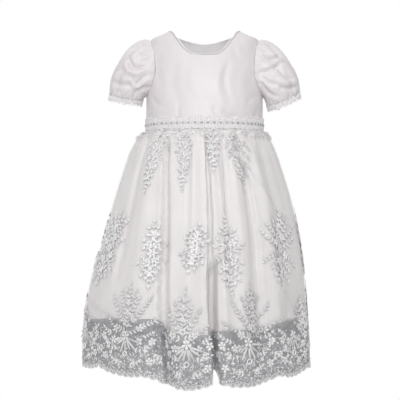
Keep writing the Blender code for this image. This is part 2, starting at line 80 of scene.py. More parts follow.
# Main folds: degrees at waist and hem, half widths, start and end height, depth at waist and hem,
# bend of the line (1 is straight), lean (above 0 the left flank is the steep one), and flatness
# (1 is a round trough, less is a flat one with steep flanks).
foldTable = (
    (-76.0, -74.0, 9.0, 8.0, -0.17, -0.6, 0.002, 0.004, 1.0, 0.0, 1.0),
    (-60.0, -48.0, 3.4, 5.0, -0.166, -0.43, -0.0034, -0.0036, 1.0, 0.5, 1.0),
    (-49.0, -32.0, 8.0, 11.0, -0.168, -0.6, 0.003, 0.004, 0.8, 0.0, 1.0),
    (-43.0, -15.5, 2.8, 3.6, -0.163, -0.6, -0.008, -0.014, 0.6, 0.7, 1.0),
    (-9.0, -3.0, 8.0, 11.0, -0.168, -0.6, 0.004, 0.0075, 1.0, 0.0, 1.0),
    (-14.0, -6.0, 2.4, 3.4, -0.17, -0.4, -0.0022, -0.002, 1.0, 0.4, 1.0),
    (2.2, 9.4, 0.9, 1.3, -0.164, -0.44, -0.006, -0.01, 0.8, 0.0, 1.0),
    (6.0, 10.9, 1.5, 2.3, -0.36, -0.66, -0.01, -0.023, 1.0, 0.0, 0.6),
    (10.5, 18.5, 5.5, 6.5, -0.168, -0.6, 0.004, 0.007, 1.0, 0.0, 1.0),
    (20.0, 15.5, 2.2, 3.2, -0.168, -0.38, -0.0034, -0.0024, 0.6, 0.6, 1.0),
    (25.0, 27.0, 6.0, 8.0, -0.168, -0.6, 0.0024, 0.004, 1.0, 0.0, 1.0),
    (35.5, 39.0, 3.6, 4.8, -0.163, -0.56, -0.007, -0.0085, 1.0, -0.5, 1.0),
    (15.0, 134.0, 5.0, 5.0, -0.19, -0.33, 0.005, 0.005, 1.0, -0.3, 1.0),
    (45.0, 49.0, 6.5, 9.0, -0.166, -0.6, 0.0034, 0.006, 1.0, 0.0, 1.0),
    (55.0, 58.0, 6.5, 8.0, -0.166, -0.48, -0.0026, -0.003, 1.0, 0.3, 1.0),
    (15.0, 73.0, 4.5, 6.0, -0.385, -0.5, 0.004, 0.004, 1.0, 0.0, 1.0),
    (72.0, 72.0, 8.0, 8.0, -0.17, -0.6, 0.003, 0.005, 1.0, 0.0, 1.0),
    (-417.0, 54.0, 8.0, 8.0, -0.425, -0.505, -0.0036, -0.0036, 1.0, 0.0, 1.0),
    (97.0, 99.0, 7.0, 8.0, -0.166, -0.6, -0.005, -0.007, 1.0, 0.0, 1.0),
    (114.0, 118.0, 8.0, 10.0, -0.168, -0.6, 0.004, 0.006, 1.0, 0.0, 1.0),
    (133.0, 136.0, 5.0, 5.5, -0.166, -0.6, -0.006, -0.013, 1.0, 0.0, 1.0),
    (151.0, 154.0, 8.0, 9.0, -0.168, -0.6, 0.004, 0.008, 1.0, 0.0, 1.0),
    (170.0, 172.0, 4.5, 4.5, -0.166, -0.6, -0.007, -0.018, 1.0, 0.0, 1.0),
    (189.0, 190.0, 8.0, 9.0, -0.168, -0.6, 0.004, 0.008, 1.0, 0.0, 1.0),
    (208.0, 209.0, 5.0, 5.5, -0.166, -0.6, -0.006, -0.012, 1.0, 0.0, 1.0),
    (227.0, 228.0, 8.0, 10.0, -0.168, -0.6, 0.004, 0.007, 1.0, 0.0, 1.0),
    (246.0, 247.0, 6.0, 6.5, -0.166, -0.6, -0.006, -0.011, 1.0, 0.0, 1.0),
    (264.0, 265.0, 7.0, 8.0, -0.168, -0.6, 0.002, 0.004, 1.0, 0.0, 1.0),
)
# Degrees round and lift of the hem.
hemTable = (
    (-180.0, 0.002), (-110.0, 0.009), (-88.0, 0.014), (-60.0, 0.013), (-30.0, 0.012), (-18.0, 0.0),
    (-6.0, -0.003), (28.0, -0.001), (46.0, 0.003), (66.0, 0.007), (90.0, 0.006), (130.0, 0.002),
    (180.0, 0.002),
)
# Degrees round and lift of the satin skirt's hem.
liningHemTable = (
    (-180.0, 0.004), (-95.0, 0.007), (-77.0, 0.0095), (-51.0, 0.018), (-23.0, 0.0215), (-15.0, 0.002),
    (-5.0, 0.0), (5.0, -0.001), (16.0, 0.005), (37.0, 0.006), (50.0, 0.013), (67.0, 0.014), (85.0, 0.0095),
    (110.0, 0.005), (180.0, 0.004),
)
# Degrees round where one lobe of the border ends and the next begins.
scallopEdges = (-87.0, -58.0, -20.0, 10.4, 46.0, 72.0, 103.0, 136.0, 172.0, 209.0, 243.0)
# Cuff ring: centre, reach outwards with its rise, reach forwards with its drop, fullness.
cuffTable = {
    "left": (0.1325, -0.0010, -0.1010, 0.0285, 0.0055, 0.0300, 0.0060, 0.95),
    "right": (0.1335, -0.0010, -0.1040, 0.0280, 0.0120, 0.0300, 0.0070, 0.84),
}


# Helpers that every piece uses

def smoothCurve(table, column, at):
    # cubic between the rows; a tangent is the harmonic mean of the slopes on both sides, or 0 at a turn
    rows = sorted(table, key=lambda row: row[0])
    x = np.array([row[0] for row in rows])
    y = np.array([row[column] for row in rows])
    at = np.clip(np.asarray(at, float), x[0], x[-1])
    slopes = np.diff(y) / np.diff(x)
    product, total = slopes[1:] * slopes[:-1], slopes[1:] + slopes[:-1]
    sameWay = product > 0
    middle = np.where(sameWay, 2 * product / np.where(sameWay, total, 1.0), 0.0)
    tangent = np.concatenate([[slopes[0]], middle, [slopes[-1]]])
    k = np.clip(np.searchsorted(x, at) - 1, 0, len(x) - 2)
    width = x[k + 1] - x[k]
    t = (at - x[k]) / width
    return ((2 * t**3 - 3 * t**2 + 1) * y[k] + (t**3 - 2 * t**2 + t) * width * tangent[k]
            + (3 * t**2 - 2 * t**3) * y[k + 1] + (t**3 - t**2) * width * tangent[k + 1])


def unit(vectors):
    # each vector divided by its own length
    return vectors / np.maximum(np.linalg.norm(vectors, axis=-1, keepdims=True), 1e-12)


def bump(offset):
    # cosine squared hill: 1 in the middle, 0 from one half width outwards
    return np.where(np.abs(offset) < 1, np.cos(np.clip(offset, -1, 1) * math.pi / 2) ** 2, 0.0)


def wrap(degrees):
    # the same direction between -180 and 180
    return (np.asarray(degrees, float) + 180.0) % 360.0 - 180.0


def gridNormals(points, closed=False):
    # cross product of the steps down and across the grid
    if closed:
        across = np.roll(points, -1, 0) - np.roll(points, 1, 0)
    else:
        across = np.gradient(points, axis=0)
    return unit(np.cross(np.gradient(points, axis=1), across))


def bodyPoint(degrees, z):
    # x = half width * sin, y = -depth * cos, z as given
    degrees, z = np.broadcast_arrays(np.asarray(degrees, float), np.asarray(z, float))
    turn = np.radians(degrees)
    depth = np.where(np.cos(turn) >= 0, smoothCurve(bodyTable, 2, z), smoothCurve(bodyTable, 3, z))
    return np.stack([smoothCurve(bodyTable, 1, z) * np.sin(turn), -depth * np.cos(turn), z], axis=-1)


def bodyNormal(degrees, z):
    # cross product of a short step across and a short step up
    across = bodyPoint(degrees + 0.2, z) - bodyPoint(degrees - 0.2, z)
    up = bodyPoint(degrees, z + 0.0005) - bodyPoint(degrees, z - 0.0005)
    return unit(np.cross(across, up))


def armholeCurve(share):
    # closed Catmull-Rom curve through the armhole's points: degrees round and height
    count = len(armholeTable)
    loop = np.array(armholeTable * 3)
    at = (np.asarray(share, float) % 1.0) * count + count
    k = np.floor(at).astype(int)
    t = (at - k)[..., None]
    a, b, c, d = loop[k - 1], loop[k], loop[k + 1], loop[k + 2]
    return 0.5 * (2 * b + (c - a) * t + (2 * a - 5 * b + 4 * c - d) * t**2 + (3 * b - a - 3 * c + d) * t**3)


def makeObject(name, vertices, faces, materialToUse, uv=None, tone=None, smooth=True, sharpAngle=50.0):
    # one mesh from whole arrays; faces are rows of four indices, or of three
    mesh = bpy.data.meshes.new(name)
    mesh.vertices.add(len(vertices))
    mesh.vertices.foreach_set("co", np.asarray(vertices, np.float32).ravel())
    faces = np.asarray(faces, np.int32)
    size = faces.shape[1]
    mesh.loops.add(faces.size)
    mesh.loops.foreach_set("vertex_index", faces.ravel())
    mesh.polygons.add(len(faces))
    mesh.polygons.foreach_set("loop_start", np.arange(0, faces.size, size, dtype=np.int32))
    mesh.update(calc_edges=True)
    mesh.validate()
    if uv is not None:
        layer = mesh.uv_layers.new(name="Cloth")
        index = np.empty(len(mesh.loops), np.int32)
        mesh.loops.foreach_get("vertex_index", index)
        layer.data.foreach_set("uv", np.asarray(uv, np.float32)[index].ravel())
    if tone is not None:
        attribute = mesh.attributes.new("tone", "FLOAT", "POINT")
        attribute.data.foreach_set("value", np.asarray(tone, np.float32))
    if smooth:
        mesh.shade_smooth()
        mesh.set_sharp_from_angle(angle=math.radians(sharpAngle))
    mesh.materials.append(materialToUse)
    item = bpy.data.objects.new(name, mesh)
    bpy.context.scene.collection.objects.link(item)
    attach(item, "root")
    return item


def splitQuads(quads):
    # two triangles from each row of four
    return np.concatenate([quads[:, [0, 1, 2]], quads[:, [0, 2, 3]]])


def makeWall(name, outer, inner, materialToUse, uv, closed=False, tone=None, insideMaterial=None):
    # a closed cloth wall: outer grid, inner grid and the rims between them
    columns, rows = outer.shape[:2]
    shift = columns * rows
    index = np.arange(shift).reshape(columns, rows)
    following = np.roll(index, -1, 0) if closed else index[1:]
    here = index if closed else index[:-1]
    a, b, c, d = here[:, :-1], here[:, 1:], following[:, 1:], following[:, :-1]
    quads = [np.stack([a, b, c, d], -1).reshape(-1, 4), np.stack([a, d, c, b], -1).reshape(-1, 4) + shift]
    top, topNext = here[:, 0], following[:, 0]
    low, lowNext = here[:, -1], following[:, -1]
    quads.append(np.stack([top, topNext, topNext + shift, top + shift], -1))
    quads.append(np.stack([low, low + shift, lowNext + shift, lowNext], -1))
    if not closed:
        first, last = index[0], index[-1]
        quads.append(np.stack([first[:-1], first[:-1] + shift, first[1:] + shift, first[1:]], -1))
        quads.append(np.stack([last[:-1], last[1:], last[1:] + shift, last[:-1] + shift], -1))
    vertices = np.concatenate([outer.reshape(-1, 3), inner.reshape(-1, 3)])
    flat = np.concatenate([uv.reshape(-1, 2)] * 2)
    shades = None if tone is None else np.concatenate([tone.ravel()] * 2)
    wall = makeObject(name, vertices, np.concatenate(quads), materialToUse, flat, shades)
    if insideMaterial is not None:
        wall.data.materials.append(insideMaterial)
        which = np.zeros(len(wall.data.polygons), np.int32)
        which[len(quads[0]):2 * len(quads[0])] = 1
        wall.data.polygons.foreach_set("material_index", which)
    return wall


def placeShapes(shape, faces, places, along, normals, scales):
    # copies of one small shape: x runs along, z along the normal, y across
    across = unit(np.cross(normals, along))
    along = unit(np.cross(across, normals))
    parts = shape[None] * scales[:, None]
    points = (places[:, None] + parts[..., :1] * along[:, None] + parts[..., 1:2] * across[:, None]
              + parts[..., 2:] * normals[:, None])
    allFaces = faces[None] + (np.arange(len(places)) * len(shape))[:, None, None]
    return points.reshape(-1, 3), allFaces.reshape(-1, faces.shape[1])


knotPoints = np.array([[1, 0, 0], [0, 1, 0], [-1, 0, 0], [0, -1, 0], [0, 0, 1], [0, 0, -1]], float)
knotFaces = np.array([[0, 1, 4], [1, 2, 4], [2, 3, 4], [3, 0, 4], [1, 0, 5], [2, 1, 5], [3, 2, 5], [0, 3, 5]])


def makeKnots(places, along, normals, scales, tone):
    # eight-sided knots of thread as one part: vertices, faces and tone
    points, faces = placeShapes(knotPoints, knotFaces, places, along, normals, scales)
    return points, faces, np.repeat(tone, len(knotPoints))


def joinParts(parts):
    # joins (vertices, faces, tone) parts into one set of arrays
    start, vertices, faces, tones = 0, [], [], []
    for part in parts:
        vertices.append(part[0])
        faces.append(part[1] + start)
        tones.append(part[2])
        start += len(part[0])
    return np.concatenate(vertices), np.concatenate(faces), np.concatenate(tones)


def cordTube(path, radius, up, tone, sides=6, closed=True):
    # a round cord: path + radius * (cos * side + sin * top) at each point
    ahead = unit(np.roll(path, -1, 0) - np.roll(path, 1, 0) if closed else np.gradient(path, axis=0))
    side = unit(np.cross(ahead, up))
    top = np.cross(side, ahead)
    angle = np.linspace(0, 2 * math.pi, sides, endpoint=False)
    ring = np.cos(angle)[None, :, None] * side[:, None] + np.sin(angle)[None, :, None] * top[:, None]
    points = path[:, None] + ring * radius
    index = np.arange(len(path) * sides).reshape(len(path), sides)
    here = index if closed else index[:-1]
    following = np.roll(index, -1, 0) if closed else index[1:]
    quads = np.stack([here, following, np.roll(following, -1, 1), np.roll(here, -1, 1)], -1).reshape(-1, 4)
    triangles = splitQuads(quads)
    if not closed:
        fan = np.arange(1, sides - 1)
        first = np.stack([np.zeros_like(fan), fan, fan + 1], -1)
        last = index[-1, 0] + first[:, [0, 2, 1]]
        triangles = np.concatenate([triangles, first, last])
    return points.reshape(-1, 3), triangles, np.full(len(path) * sides, tone)


# Materials

def startMaterial(name):
    # a new material, its node tree and its shader
    item = bpy.data.materials.new(name)
    item.use_nodes = True
    tree = item.node_tree
    return item, tree, tree.nodes["Principled BSDF"]


def setInputs(tree, node, inputs):
    # inputs are sockets to link or plain values
    for key, value in inputs.items():
        if isinstance(value, bpy.types.NodeSocket):
            tree.links.new(value, node.inputs[key])
        else:
            node.inputs[key].default_value = value


def addNode(tree, kind, inputs=(), **settings):
    node = tree.nodes.new(kind)
    for key, value in settings.items():
        setattr(node, key, value)
    setInputs(tree, node, dict(inputs))
    return node


def addRamp(tree, factor, stops):
    # stops are pairs of place and colour
    node = addNode(tree, "ShaderNodeValToRGB", {"Fac": factor})
    ramp = node.color_ramp
    while len(ramp.elements) < len(stops):
        ramp.elements.new(0.5)
    for element, (place, colour) in zip(ramp.elements, stops):
        element.position = place
        element.color = (*colour, 1.0)
    return node.outputs["Color"]


def addMath(tree, operation, first, second):
    return addNode(tree, "ShaderNodeMath", {0: first, 1: second}, operation=operation).outputs[0]


def toneOf(tree):
    # the number that each point of the mesh carries, 0 to 1
    node = addNode(tree, "ShaderNodeAttribute", attribute_name="tone", attribute_type="GEOMETRY")
    return node.outputs["Fac"]


def clothPlace(tree, scale=(1.0, 1.0, 1.0)):
    # the piece's own UV map, in metres along the cloth
    where = addNode(tree, "ShaderNodeUVMap", uv_map="Cloth")
    return addNode(tree, "ShaderNodeMapping", {"Vector": where.outputs[0], "Scale": scale}).outputs[0]


def satinMaterial(name, values):
    # cloudy colour under fine weave, with soft small wrinkles
    item, tree, shader = startMaterial(name)
    place = clothPlace(tree)
    cloud = addNode(tree, "ShaderNodeTexNoise", {"Vector": place, "Scale": 22.0, "Detail": 3.0})
    colour = addRamp(tree, cloud.outputs["Fac"], ((0.30, values["shade"]), (0.70, values["colour"])))
    # satin's long floats: fine lines across, broken into short lengths
    floats = addNode(tree, "ShaderNodeTexNoise",
                     {"Vector": clothPlace(tree, (260.0, 2600.0, 1.0)), "Scale": 1.0, "Detail": 2.0})
    warp = addNode(tree, "ShaderNodeTexWave",
                   {"Vector": place, "Scale": 900.0, "Distortion": 1.5, "Detail": 1.0})
    wrinkle = addNode(tree, "ShaderNodeTexNoise",
                      {"Vector": place, "Scale": 75.0, "Detail": 2.0, "Roughness": 0.4})
    rough = addNode(tree, "ShaderNodeMapRange", {"Value": floats.outputs["Fac"],
                                                 "To Min": values["roughLow"], "To Max": values["roughHigh"]})
    fine = addMath(tree, "MULTIPLY", addMath(tree, "ADD", floats.outputs["Fac"], warp.outputs["Fac"]), 0.5)
    low = addNode(tree, "ShaderNodeBump",
                  {"Height": wrinkle.outputs["Fac"], "Strength": 0.35, "Distance": values["wrinkle"]})
    high = addNode(tree, "ShaderNodeBump",
                   {"Height": fine, "Strength": 0.25, "Distance": 0.00012, "Normal": low.outputs[0]})
    setInputs(tree, shader, {"Base Color": colour, "Roughness": rough.outputs[0], "Normal": high.outputs[0],
                             "Specular IOR Level": values["shine"], "Sheen Weight": 0.25,
                             "Sheen Roughness": 0.4})
    return item


def netMaterial(name, values):
    # see-through mesh of fine threads, and on the border a denser ground in grey, which is painted shade: the
    # dark inside of the skirt as seen through the net
    item, tree, shader = startMaterial(name)
    place = clothPlace(tree)
    cells = addNode(tree, "ShaderNodeTexVoronoi",
                    {"Vector": place, "Scale": 1 / values["mesh"], "Randomness": 0.25},
                    feature="DISTANCE_TO_EDGE", voronoi_dimensions="2D")
    thread = addNode(tree, "ShaderNodeMapRange",
                     {"Value": cells.outputs["Distance"], "From Min": values["thread"] * 0.6,
                      "From Max": values["thread"], "To Min": 1.0, "To Max": 0.0})
    band = toneOf(tree)
    holes = addNode(tree, "ShaderNodeMapRange",
                    {"Value": band, "To Min": values["holeTop"], "To Max": values["holeBand"]})
    faint = addMath(tree, "MULTIPLY", thread.outputs[0], values["threadSolid"])
    solid = addMath(tree, "MAXIMUM", faint, holes.outputs[0])
    # the border's ground: fine uneven stitching as its texture, coloured in the greys of the painted shade
    stitches = addNode(tree, "ShaderNodeTexVoronoi", {"Vector": place, "Scale": 430.0, "Randomness": 1.0},
                       voronoi_dimensions="2D")
    patches = addNode(tree, "ShaderNodeTexNoise",
                      {"Vector": place, "Scale": 130.0, "Detail": 4.0, "Roughness": 0.7})
    shadeGround = addRamp(tree, addMath(tree, "ADD", addMath(tree, "MULTIPLY", stitches.outputs["Color"], 0.45),
                                   addMath(tree, "MULTIPLY", patches.outputs["Fac"], 0.55)),
                     ((0.32, values["shadeBandDark"]), (0.66, values["shadeBandLight"])))
    height = addMath(tree, "ADD", thread.outputs[0], stitches.outputs["Distance"])
    raised = addNode(tree, "ShaderNodeBump", {"Height": height, "Strength": 0.3, "Distance": 0.0002})
    mix = addNode(tree, "ShaderNodeMix", {"Factor": band, "A": (*values["colour"], 1.0), "B": shadeGround},
                  data_type="RGBA")
    setInputs(tree, shader, {"Alpha": solid, "Base Color": mix.outputs["Result"], "Normal": raised.outputs[0],
                             "Roughness": 0.55, "Sheen Weight": 0.2})
    return item


def threadMaterial(name, values):
    # twisted thread, coloured from dark to light by each point's tone, which holds the thread's own random
    # colour and, on the embroidery, painted shade
    item, tree, shader = startMaterial(name)
    tone = toneOf(tree)
    place = addNode(tree, "ShaderNodeTexCoord").outputs["Object"]
    twist = addNode(tree, "ShaderNodeTexNoise", {"Vector": place, "Scale": 1400.0, "Detail": 2.0})
    mixed = addMath(tree, "ADD", addMath(tree, "MULTIPLY", tone, 0.8),
                    addMath(tree, "MULTIPLY", twist.outputs["Fac"], 0.2))
    colour = addRamp(tree, mixed, ((0.15, values["dark"]), (0.45, values["middle"]), (0.72, values["light"])))
    raised = addNode(tree, "ShaderNodeBump",
                     {"Height": twist.outputs["Fac"], "Strength": 0.5, "Distance": 0.0003})
    rough = addNode(tree, "ShaderNodeMapRange",
                    {"Value": twist.outputs["Fac"], "To Min": 0.30, "To Max": 0.60})
    setInputs(tree, shader, {"Base Color": colour, "Normal": raised.outputs[0], "Roughness": rough.outputs[0],
                             "Specular IOR Level": 0.6, "Sheen Weight": 0.3})
    return item


def stoneMaterial(name, values):
    # clouded colour under a clear coat
    item, tree, shader = startMaterial(name)
    place = addNode(tree, "ShaderNodeTexCoord").outputs["Object"]
    cloud = addNode(tree, "ShaderNodeTexNoise", {"Vector": place, "Scale": 380.0, "Detail": 1.0})
    colour = addRamp(tree, cloud.outputs["Fac"], ((0.35, values["dark"]), (0.65, values["light"])))
    setInputs(tree, shader, {"Base Color": colour, "Metallic": values["metal"], "Roughness": values["rough"],
                             "Coat Weight": 0.6, "Coat Roughness": 0.05})
    return item


def laceGroundMaterial(name, values):
    # small raised cells of stitching, with painted shade: darker in the hollows between the cells
    item, tree, shader = startMaterial(name)
    place = clothPlace(tree)
    cells = addNode(tree, "ShaderNodeTexVoronoi", {"Vector": place, "Scale": 700.0, "Randomness": 0.8},
                    voronoi_dimensions="2D")
    colour = addRamp(tree, cells.outputs["Distance"], ((0.05, values["light"]), (0.60, values["dark"])))
    raised = addNode(tree, "ShaderNodeBump",
                     {"Height": cells.outputs["Distance"], "Strength": 0.6, "Distance": 0.0004}, invert=True)
    setInputs(tree, shader, {"Base Color": colour, "Normal": raised.outputs[0], "Roughness": 0.6,
                             "Sheen Weight": 0.3})
    return item


colours = {
    "satin": {"colour": (0.83, 0.79, 0.805), "shade": (0.79, 0.75, 0.765),
              "roughLow": 0.30, "roughHigh": 0.46, "shine": 0.45, "wrinkle": 0.0012},
    # the skirt's satin is a lighter copy of the bodice's satin: painted light that offsets the net's shade
    # over it
    "lightenedSkirtSatin": {"colour": (0.87, 0.84, 0.842), "shade": (0.82, 0.79, 0.79),
                   "roughLow": 0.32, "roughHigh": 0.50, "shine": 0.4, "wrinkle": 0.0016},
    # the bodice's inner faces: a matte lining cloth, made lighter than the satin as painted light for the
    # shaded inside of the neck
    "lining": {"colour": (0.97, 0.95, 0.955), "shade": (0.94, 0.92, 0.925),
               "roughLow": 0.50, "roughHigh": 0.70, "shine": 0.3, "wrinkle": 0.0010},
    # the net's two band greys are painted shade: the dark inside of the skirt seen through the border
    "net": {"mesh": 0.0013, "thread": 0.16, "threadSolid": 0.11, "holeTop": 0.015, "holeBand": 0.80,
            "colour": (0.93, 0.91, 0.915), "shadeBandDark": (0.30, 0.30, 0.315), "shadeBandLight": (0.50, 0.50, 0.525)},
    "silver": {"dark": (0.38, 0.38, 0.39), "middle": (0.72, 0.715, 0.72), "light": (0.97, 0.96, 0.96)},
    "lace": {"dark": (0.55, 0.54, 0.55), "middle": (0.84, 0.82, 0.83), "light": (0.97, 0.95, 0.96)},
    "laceGround": {"light": (0.94, 0.92, 0.93), "dark": (0.66, 0.64, 0.65)},
    "stone": {"dark": (0.30, 0.30, 0.33), "light": (0.80, 0.80, 0.82), "metal": 0.7, "rough": 0.16},
    "pearl": {"dark": (0.74, 0.73, 0.74), "light": (0.88, 0.87, 0.88), "metal": 0.0, "rough": 0.22},
}
satinCloth = satinMaterial("Satin", colours["satin"])
lightenedSkirtSatin = satinMaterial("SkirtSatinPaintedLight", colours["lightenedSkirtSatin"])
brightenedLining = satinMaterial("BodiceLiningPaintedLight", colours["lining"])
netCloth = netMaterial("EmbroideredNet", colours["net"])
silverThread = threadMaterial("SilverThread", colours["silver"])
laceThread = threadMaterial("LaceThread", colours["lace"])
stoneFinish = stoneMaterial("CutStone", colours["stone"])
pearlFinish = stoneMaterial("Pearl", colours["pearl"])
laceGround = laceGroundMaterial("LaceGround", colours["laceGround"])
print("materials ready")


# Bodice

bodiceValues = {
    # creases in front: x and height of both ends, half width, depth
    "frontCreases": (
        (0.016, -0.124, 0.024, -0.146, 0.0038, -0.002), (0.03, -0.134, 0.052, -0.14, 0.0036, -0.002),
        (0.034, -0.13, 0.05, -0.146, 0.004, -0.0018), (0.092, -0.124, 0.084, -0.142, 0.0045, -0.0016),
        (-0.042, -0.122, -0.04, -0.146, 0.0045, -0.002), (-0.006, -0.128, -0.01, -0.146, 0.004, -0.0012),
        (0.048, -0.028, 0.068, -0.05, 0.005, -0.0018), (0.062, -0.024, 0.082, -0.038, 0.0045, -0.0014),
        (-0.048, -0.014, -0.07, -0.026, 0.006, -0.0014), (0.038, -0.056, 0.042, -0.114, 0.009, -0.002),
        (0.026, -0.06, 0.03, -0.12, 0.008, 0.001), (-0.05, -0.06, -0.04, -0.12, 0.014, -0.0014),
        (-0.016, -0.045, -0.006, -0.11, 0.016, 0.0011), (0.07, -0.06, 0.066, -0.118, 0.012, 0.0011),
        (0.088, -0.104, 0.07, -0.118, 0.005, -0.0016), (-0.088, -0.106, -0.066, -0.124, 0.006, -0.0015),
        (-0.074, -0.04, -0.07, -0.09, 0.009, -0.0012),
    ),
    "backCreases": (
        (0.03, -0.11, 0.036, -0.146, 0.005, -0.0013), (-0.042, -0.116, -0.036, -0.146, 0.0045, -0.0014),
        (0.064, -0.122, 0.06, -0.144, 0.004, -0.0011), (-0.066, -0.04, -0.05, -0.07, 0.007, -0.0011),
        (0.06, -0.036, 0.048, -0.078, 0.008, -0.001), (0.012, -0.06, 0.02, -0.068, 0.006, -0.0009),
        (-0.09, -0.104, -0.064, -0.122, 0.006, -0.0011), (0.09, -0.106, 0.066, -0.12, 0.007, -0.001),
    ),
    "creaseRange": (-0.0024, 0.0012), "edgeFade": 0.012, "lapStep": 0.0019,
    # a stitch: pitch, length and width; neckStitch and neckCordDrop are depths below the neck's edge
    "stitch": (0.0026, 0.0018, 0.0005), "neckStitch": 0.0030, "neckCord": 0.00055, "neckCordDrop": 0.0014,
    "aroundRadius": 0.085,
}


def coons(top, bottom, left, right):
    # bilinear blend of four edges: top and bottom over v, left and right over u, less the corners
    u = np.linspace(0, 1, len(top))[:, None, None]
    v = np.linspace(0, 1, len(left))[None, :, None]
    corners = ((1 - u) * (1 - v) * top[0] + u * (1 - v) * top[-1]
               + (1 - u) * v * bottom[0] + u * v * bottom[-1])
    return (1 - v) * top[:, None] + v * bottom[:, None] + (1 - u) * left[None] + u * right[None] - corners


def creaseDepth(x, y, table):
    # sum of soft troughs: depth * hill(distance from each crease's line / half width)
    total = np.zeros(x.shape)
    for x0, y0, x1, y1, width, depth in table:
        dx, dy = x1 - x0, y1 - y0
        h = np.clip(((x - x0) * dx + (y - y0) * dy) / (dx * dx + dy * dy), 0, 1)
        bow = 0.12 * np.sin(math.pi * h)
        away = np.hypot(x - x0 - h * dx - bow * dy, y - y0 - h * dy + bow * dx)
        total += depth * bump(away / width) * (0.45 + 0.55 * np.sin(math.pi * np.clip(h * 0.8 + 0.15, 0, 1)))
    return total


def sideOutline(steps, stepsSide, front):
    # half of the armhole, then the side seam down to the waist
    share = np.linspace(0, 0.5, steps + 1)
    hole = armholeCurve(share if front else 1.0 - share)
    sideZ = np.linspace(armholeTable[6][1], form["waistZ"], stepsSide + 1)[1:]
    return np.concatenate([hole, np.stack([np.full(stepsSide, 90.0), sideZ], -1)])


def shoulderLine(steps):
    # from the armhole up to the neck point
    return np.stack([np.full(steps + 1, 90.0),
                     np.linspace(armholeTable[0][1], form["neckPointZ"], steps + 1)], -1)


def panelObject(name, flat, offset, creases, yShift, mirror=1.0):
    # flat holds degrees and height; offset is how far a lapped edge steps inwards
    points = bodyPoint(flat[..., 0], flat[..., 1])
    normal = bodyNormal(flat[..., 0], flat[..., 1])
    x = points[..., 0] * mirror
    edge = np.clip((flat[..., 1] - form["waistZ"]) / bodiceValues["edgeFade"], 0, 1)
    relief = np.clip(creaseDepth(x, flat[..., 1], creases) * edge, *bodiceValues["creaseRange"])
    outer = points + normal * (relief - offset)[..., None]
    inner = outer - normal * form["satinWall"]
    uv = np.stack([np.radians(flat[..., 0]) * bodiceValues["aroundRadius"], flat[..., 1]], -1)
    turn = np.array([mirror, 1.0, 1.0])
    outer, inner = outer * turn + (0, yShift, 0), inner * turn + (0, yShift, 0)
    if mirror < 0:
        outer, inner, uv = outer[::-1], inner[::-1], uv[::-1]
    return makeWall(name, outer, inner, satinCloth, uv, insideMaterial=brightenedLining)


def makeFrontBodice(shift):
    right = sideOutline(34, 14, True)
    shoulder = shoulderLine(10)
    turn = np.linspace(90, -90, 81)
    turn = 90 * np.sign(turn) * np.abs(turn / 90) ** 1.25
    neck = np.stack([turn, smoothCurve(neckTable, 1, np.abs(turn))], -1)
    top = np.concatenate([shoulder, neck[1:-1], shoulder[::-1] * (-1.0, 1.0)])
    bottom = np.stack([np.linspace(90, -90, len(top)), np.full(len(top), form["waistZ"])], -1)
    flat = coons(top[::-1], bottom[::-1], right * (-1.0, 1.0), right)
    front = panelObject("BodiceFront", flat, 0.0, bodiceValues["frontCreases"], -shift)
    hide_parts("bodice_front")


def makeBackBodices(shift, lap):
    # both backs reach lap degrees past the centre; the left one steps in under the right one
    outline = sideOutline(34, 14, False)
    bend = 180 - lap - 4
    turn = np.concatenate([np.linspace(90, bend, 40)[1:], np.linspace(bend, 180 + lap, 22)[1:]])
    neck = np.stack([turn, smoothCurve(neckTable, 1, np.minimum(turn, 360 - turn))], -1)
    top = np.concatenate([shoulderLine(10), neck])
    across = np.concatenate([np.linspace(90, bend, len(top) - 21), turn[-21:]])
    bottom = np.stack([across, np.full(len(top), form["waistZ"])], -1)
    edgeZ = np.linspace(neck[-1, 1], form["waistZ"], len(outline))
    flat = coons(top, bottom, outline, np.stack([np.full(len(outline), turn[-1]), edgeZ], -1))
    step = bodiceValues["lapStep"] * np.clip((flat[..., 0] - (180 - lap - 3.2)) / 2.0, 0, 1)
    for side, mirror, offset in (("left", -1.0, step), ("right", 1.0, 0.0 * step)):
        panel = panelObject("BodiceBack" + side.capitalize(), flat, offset,
                            bodiceValues["backCreases"], shift, mirror)
        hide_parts("bodice_back_" + side)


# Stitches: each a small eight-sided lozenge lying along its seam

def stitchRow(path, normals, pitch, length, width):
    # path and normals are arrays of points along a seam; stitches are spaced by arc length
    run = np.concatenate([[0.0], np.cumsum(np.linalg.norm(np.diff(path, axis=0), axis=1))])
    at = np.arange(pitch / 2, run[-1], pitch)

    def pick(values, where):
        return np.stack([np.interp(where, run, values[:, k]) for k in range(3)], -1)

    ahead = unit(pick(path, at + pitch / 3) - pick(path, at - pitch / 3))
    shape = knotPoints * (-0.5, -0.5, 0.5)
    shape[-1, 2] = -0.4
    scales = np.tile([length, width, width * 0.8], (len(at), 1))
    points, faces = placeShapes(shape, knotFaces, pick(path, at), ahead, unit(pick(normals, at)), scales)
    return points, faces, np.full(len(points), 0.75)


def seamStitches(degrees, z):
    normals = bodyNormal(degrees, z)
    return stitchRow(bodyPoint(degrees, z) + normals * 0.0001, normals, *bodiceValues["stitch"])


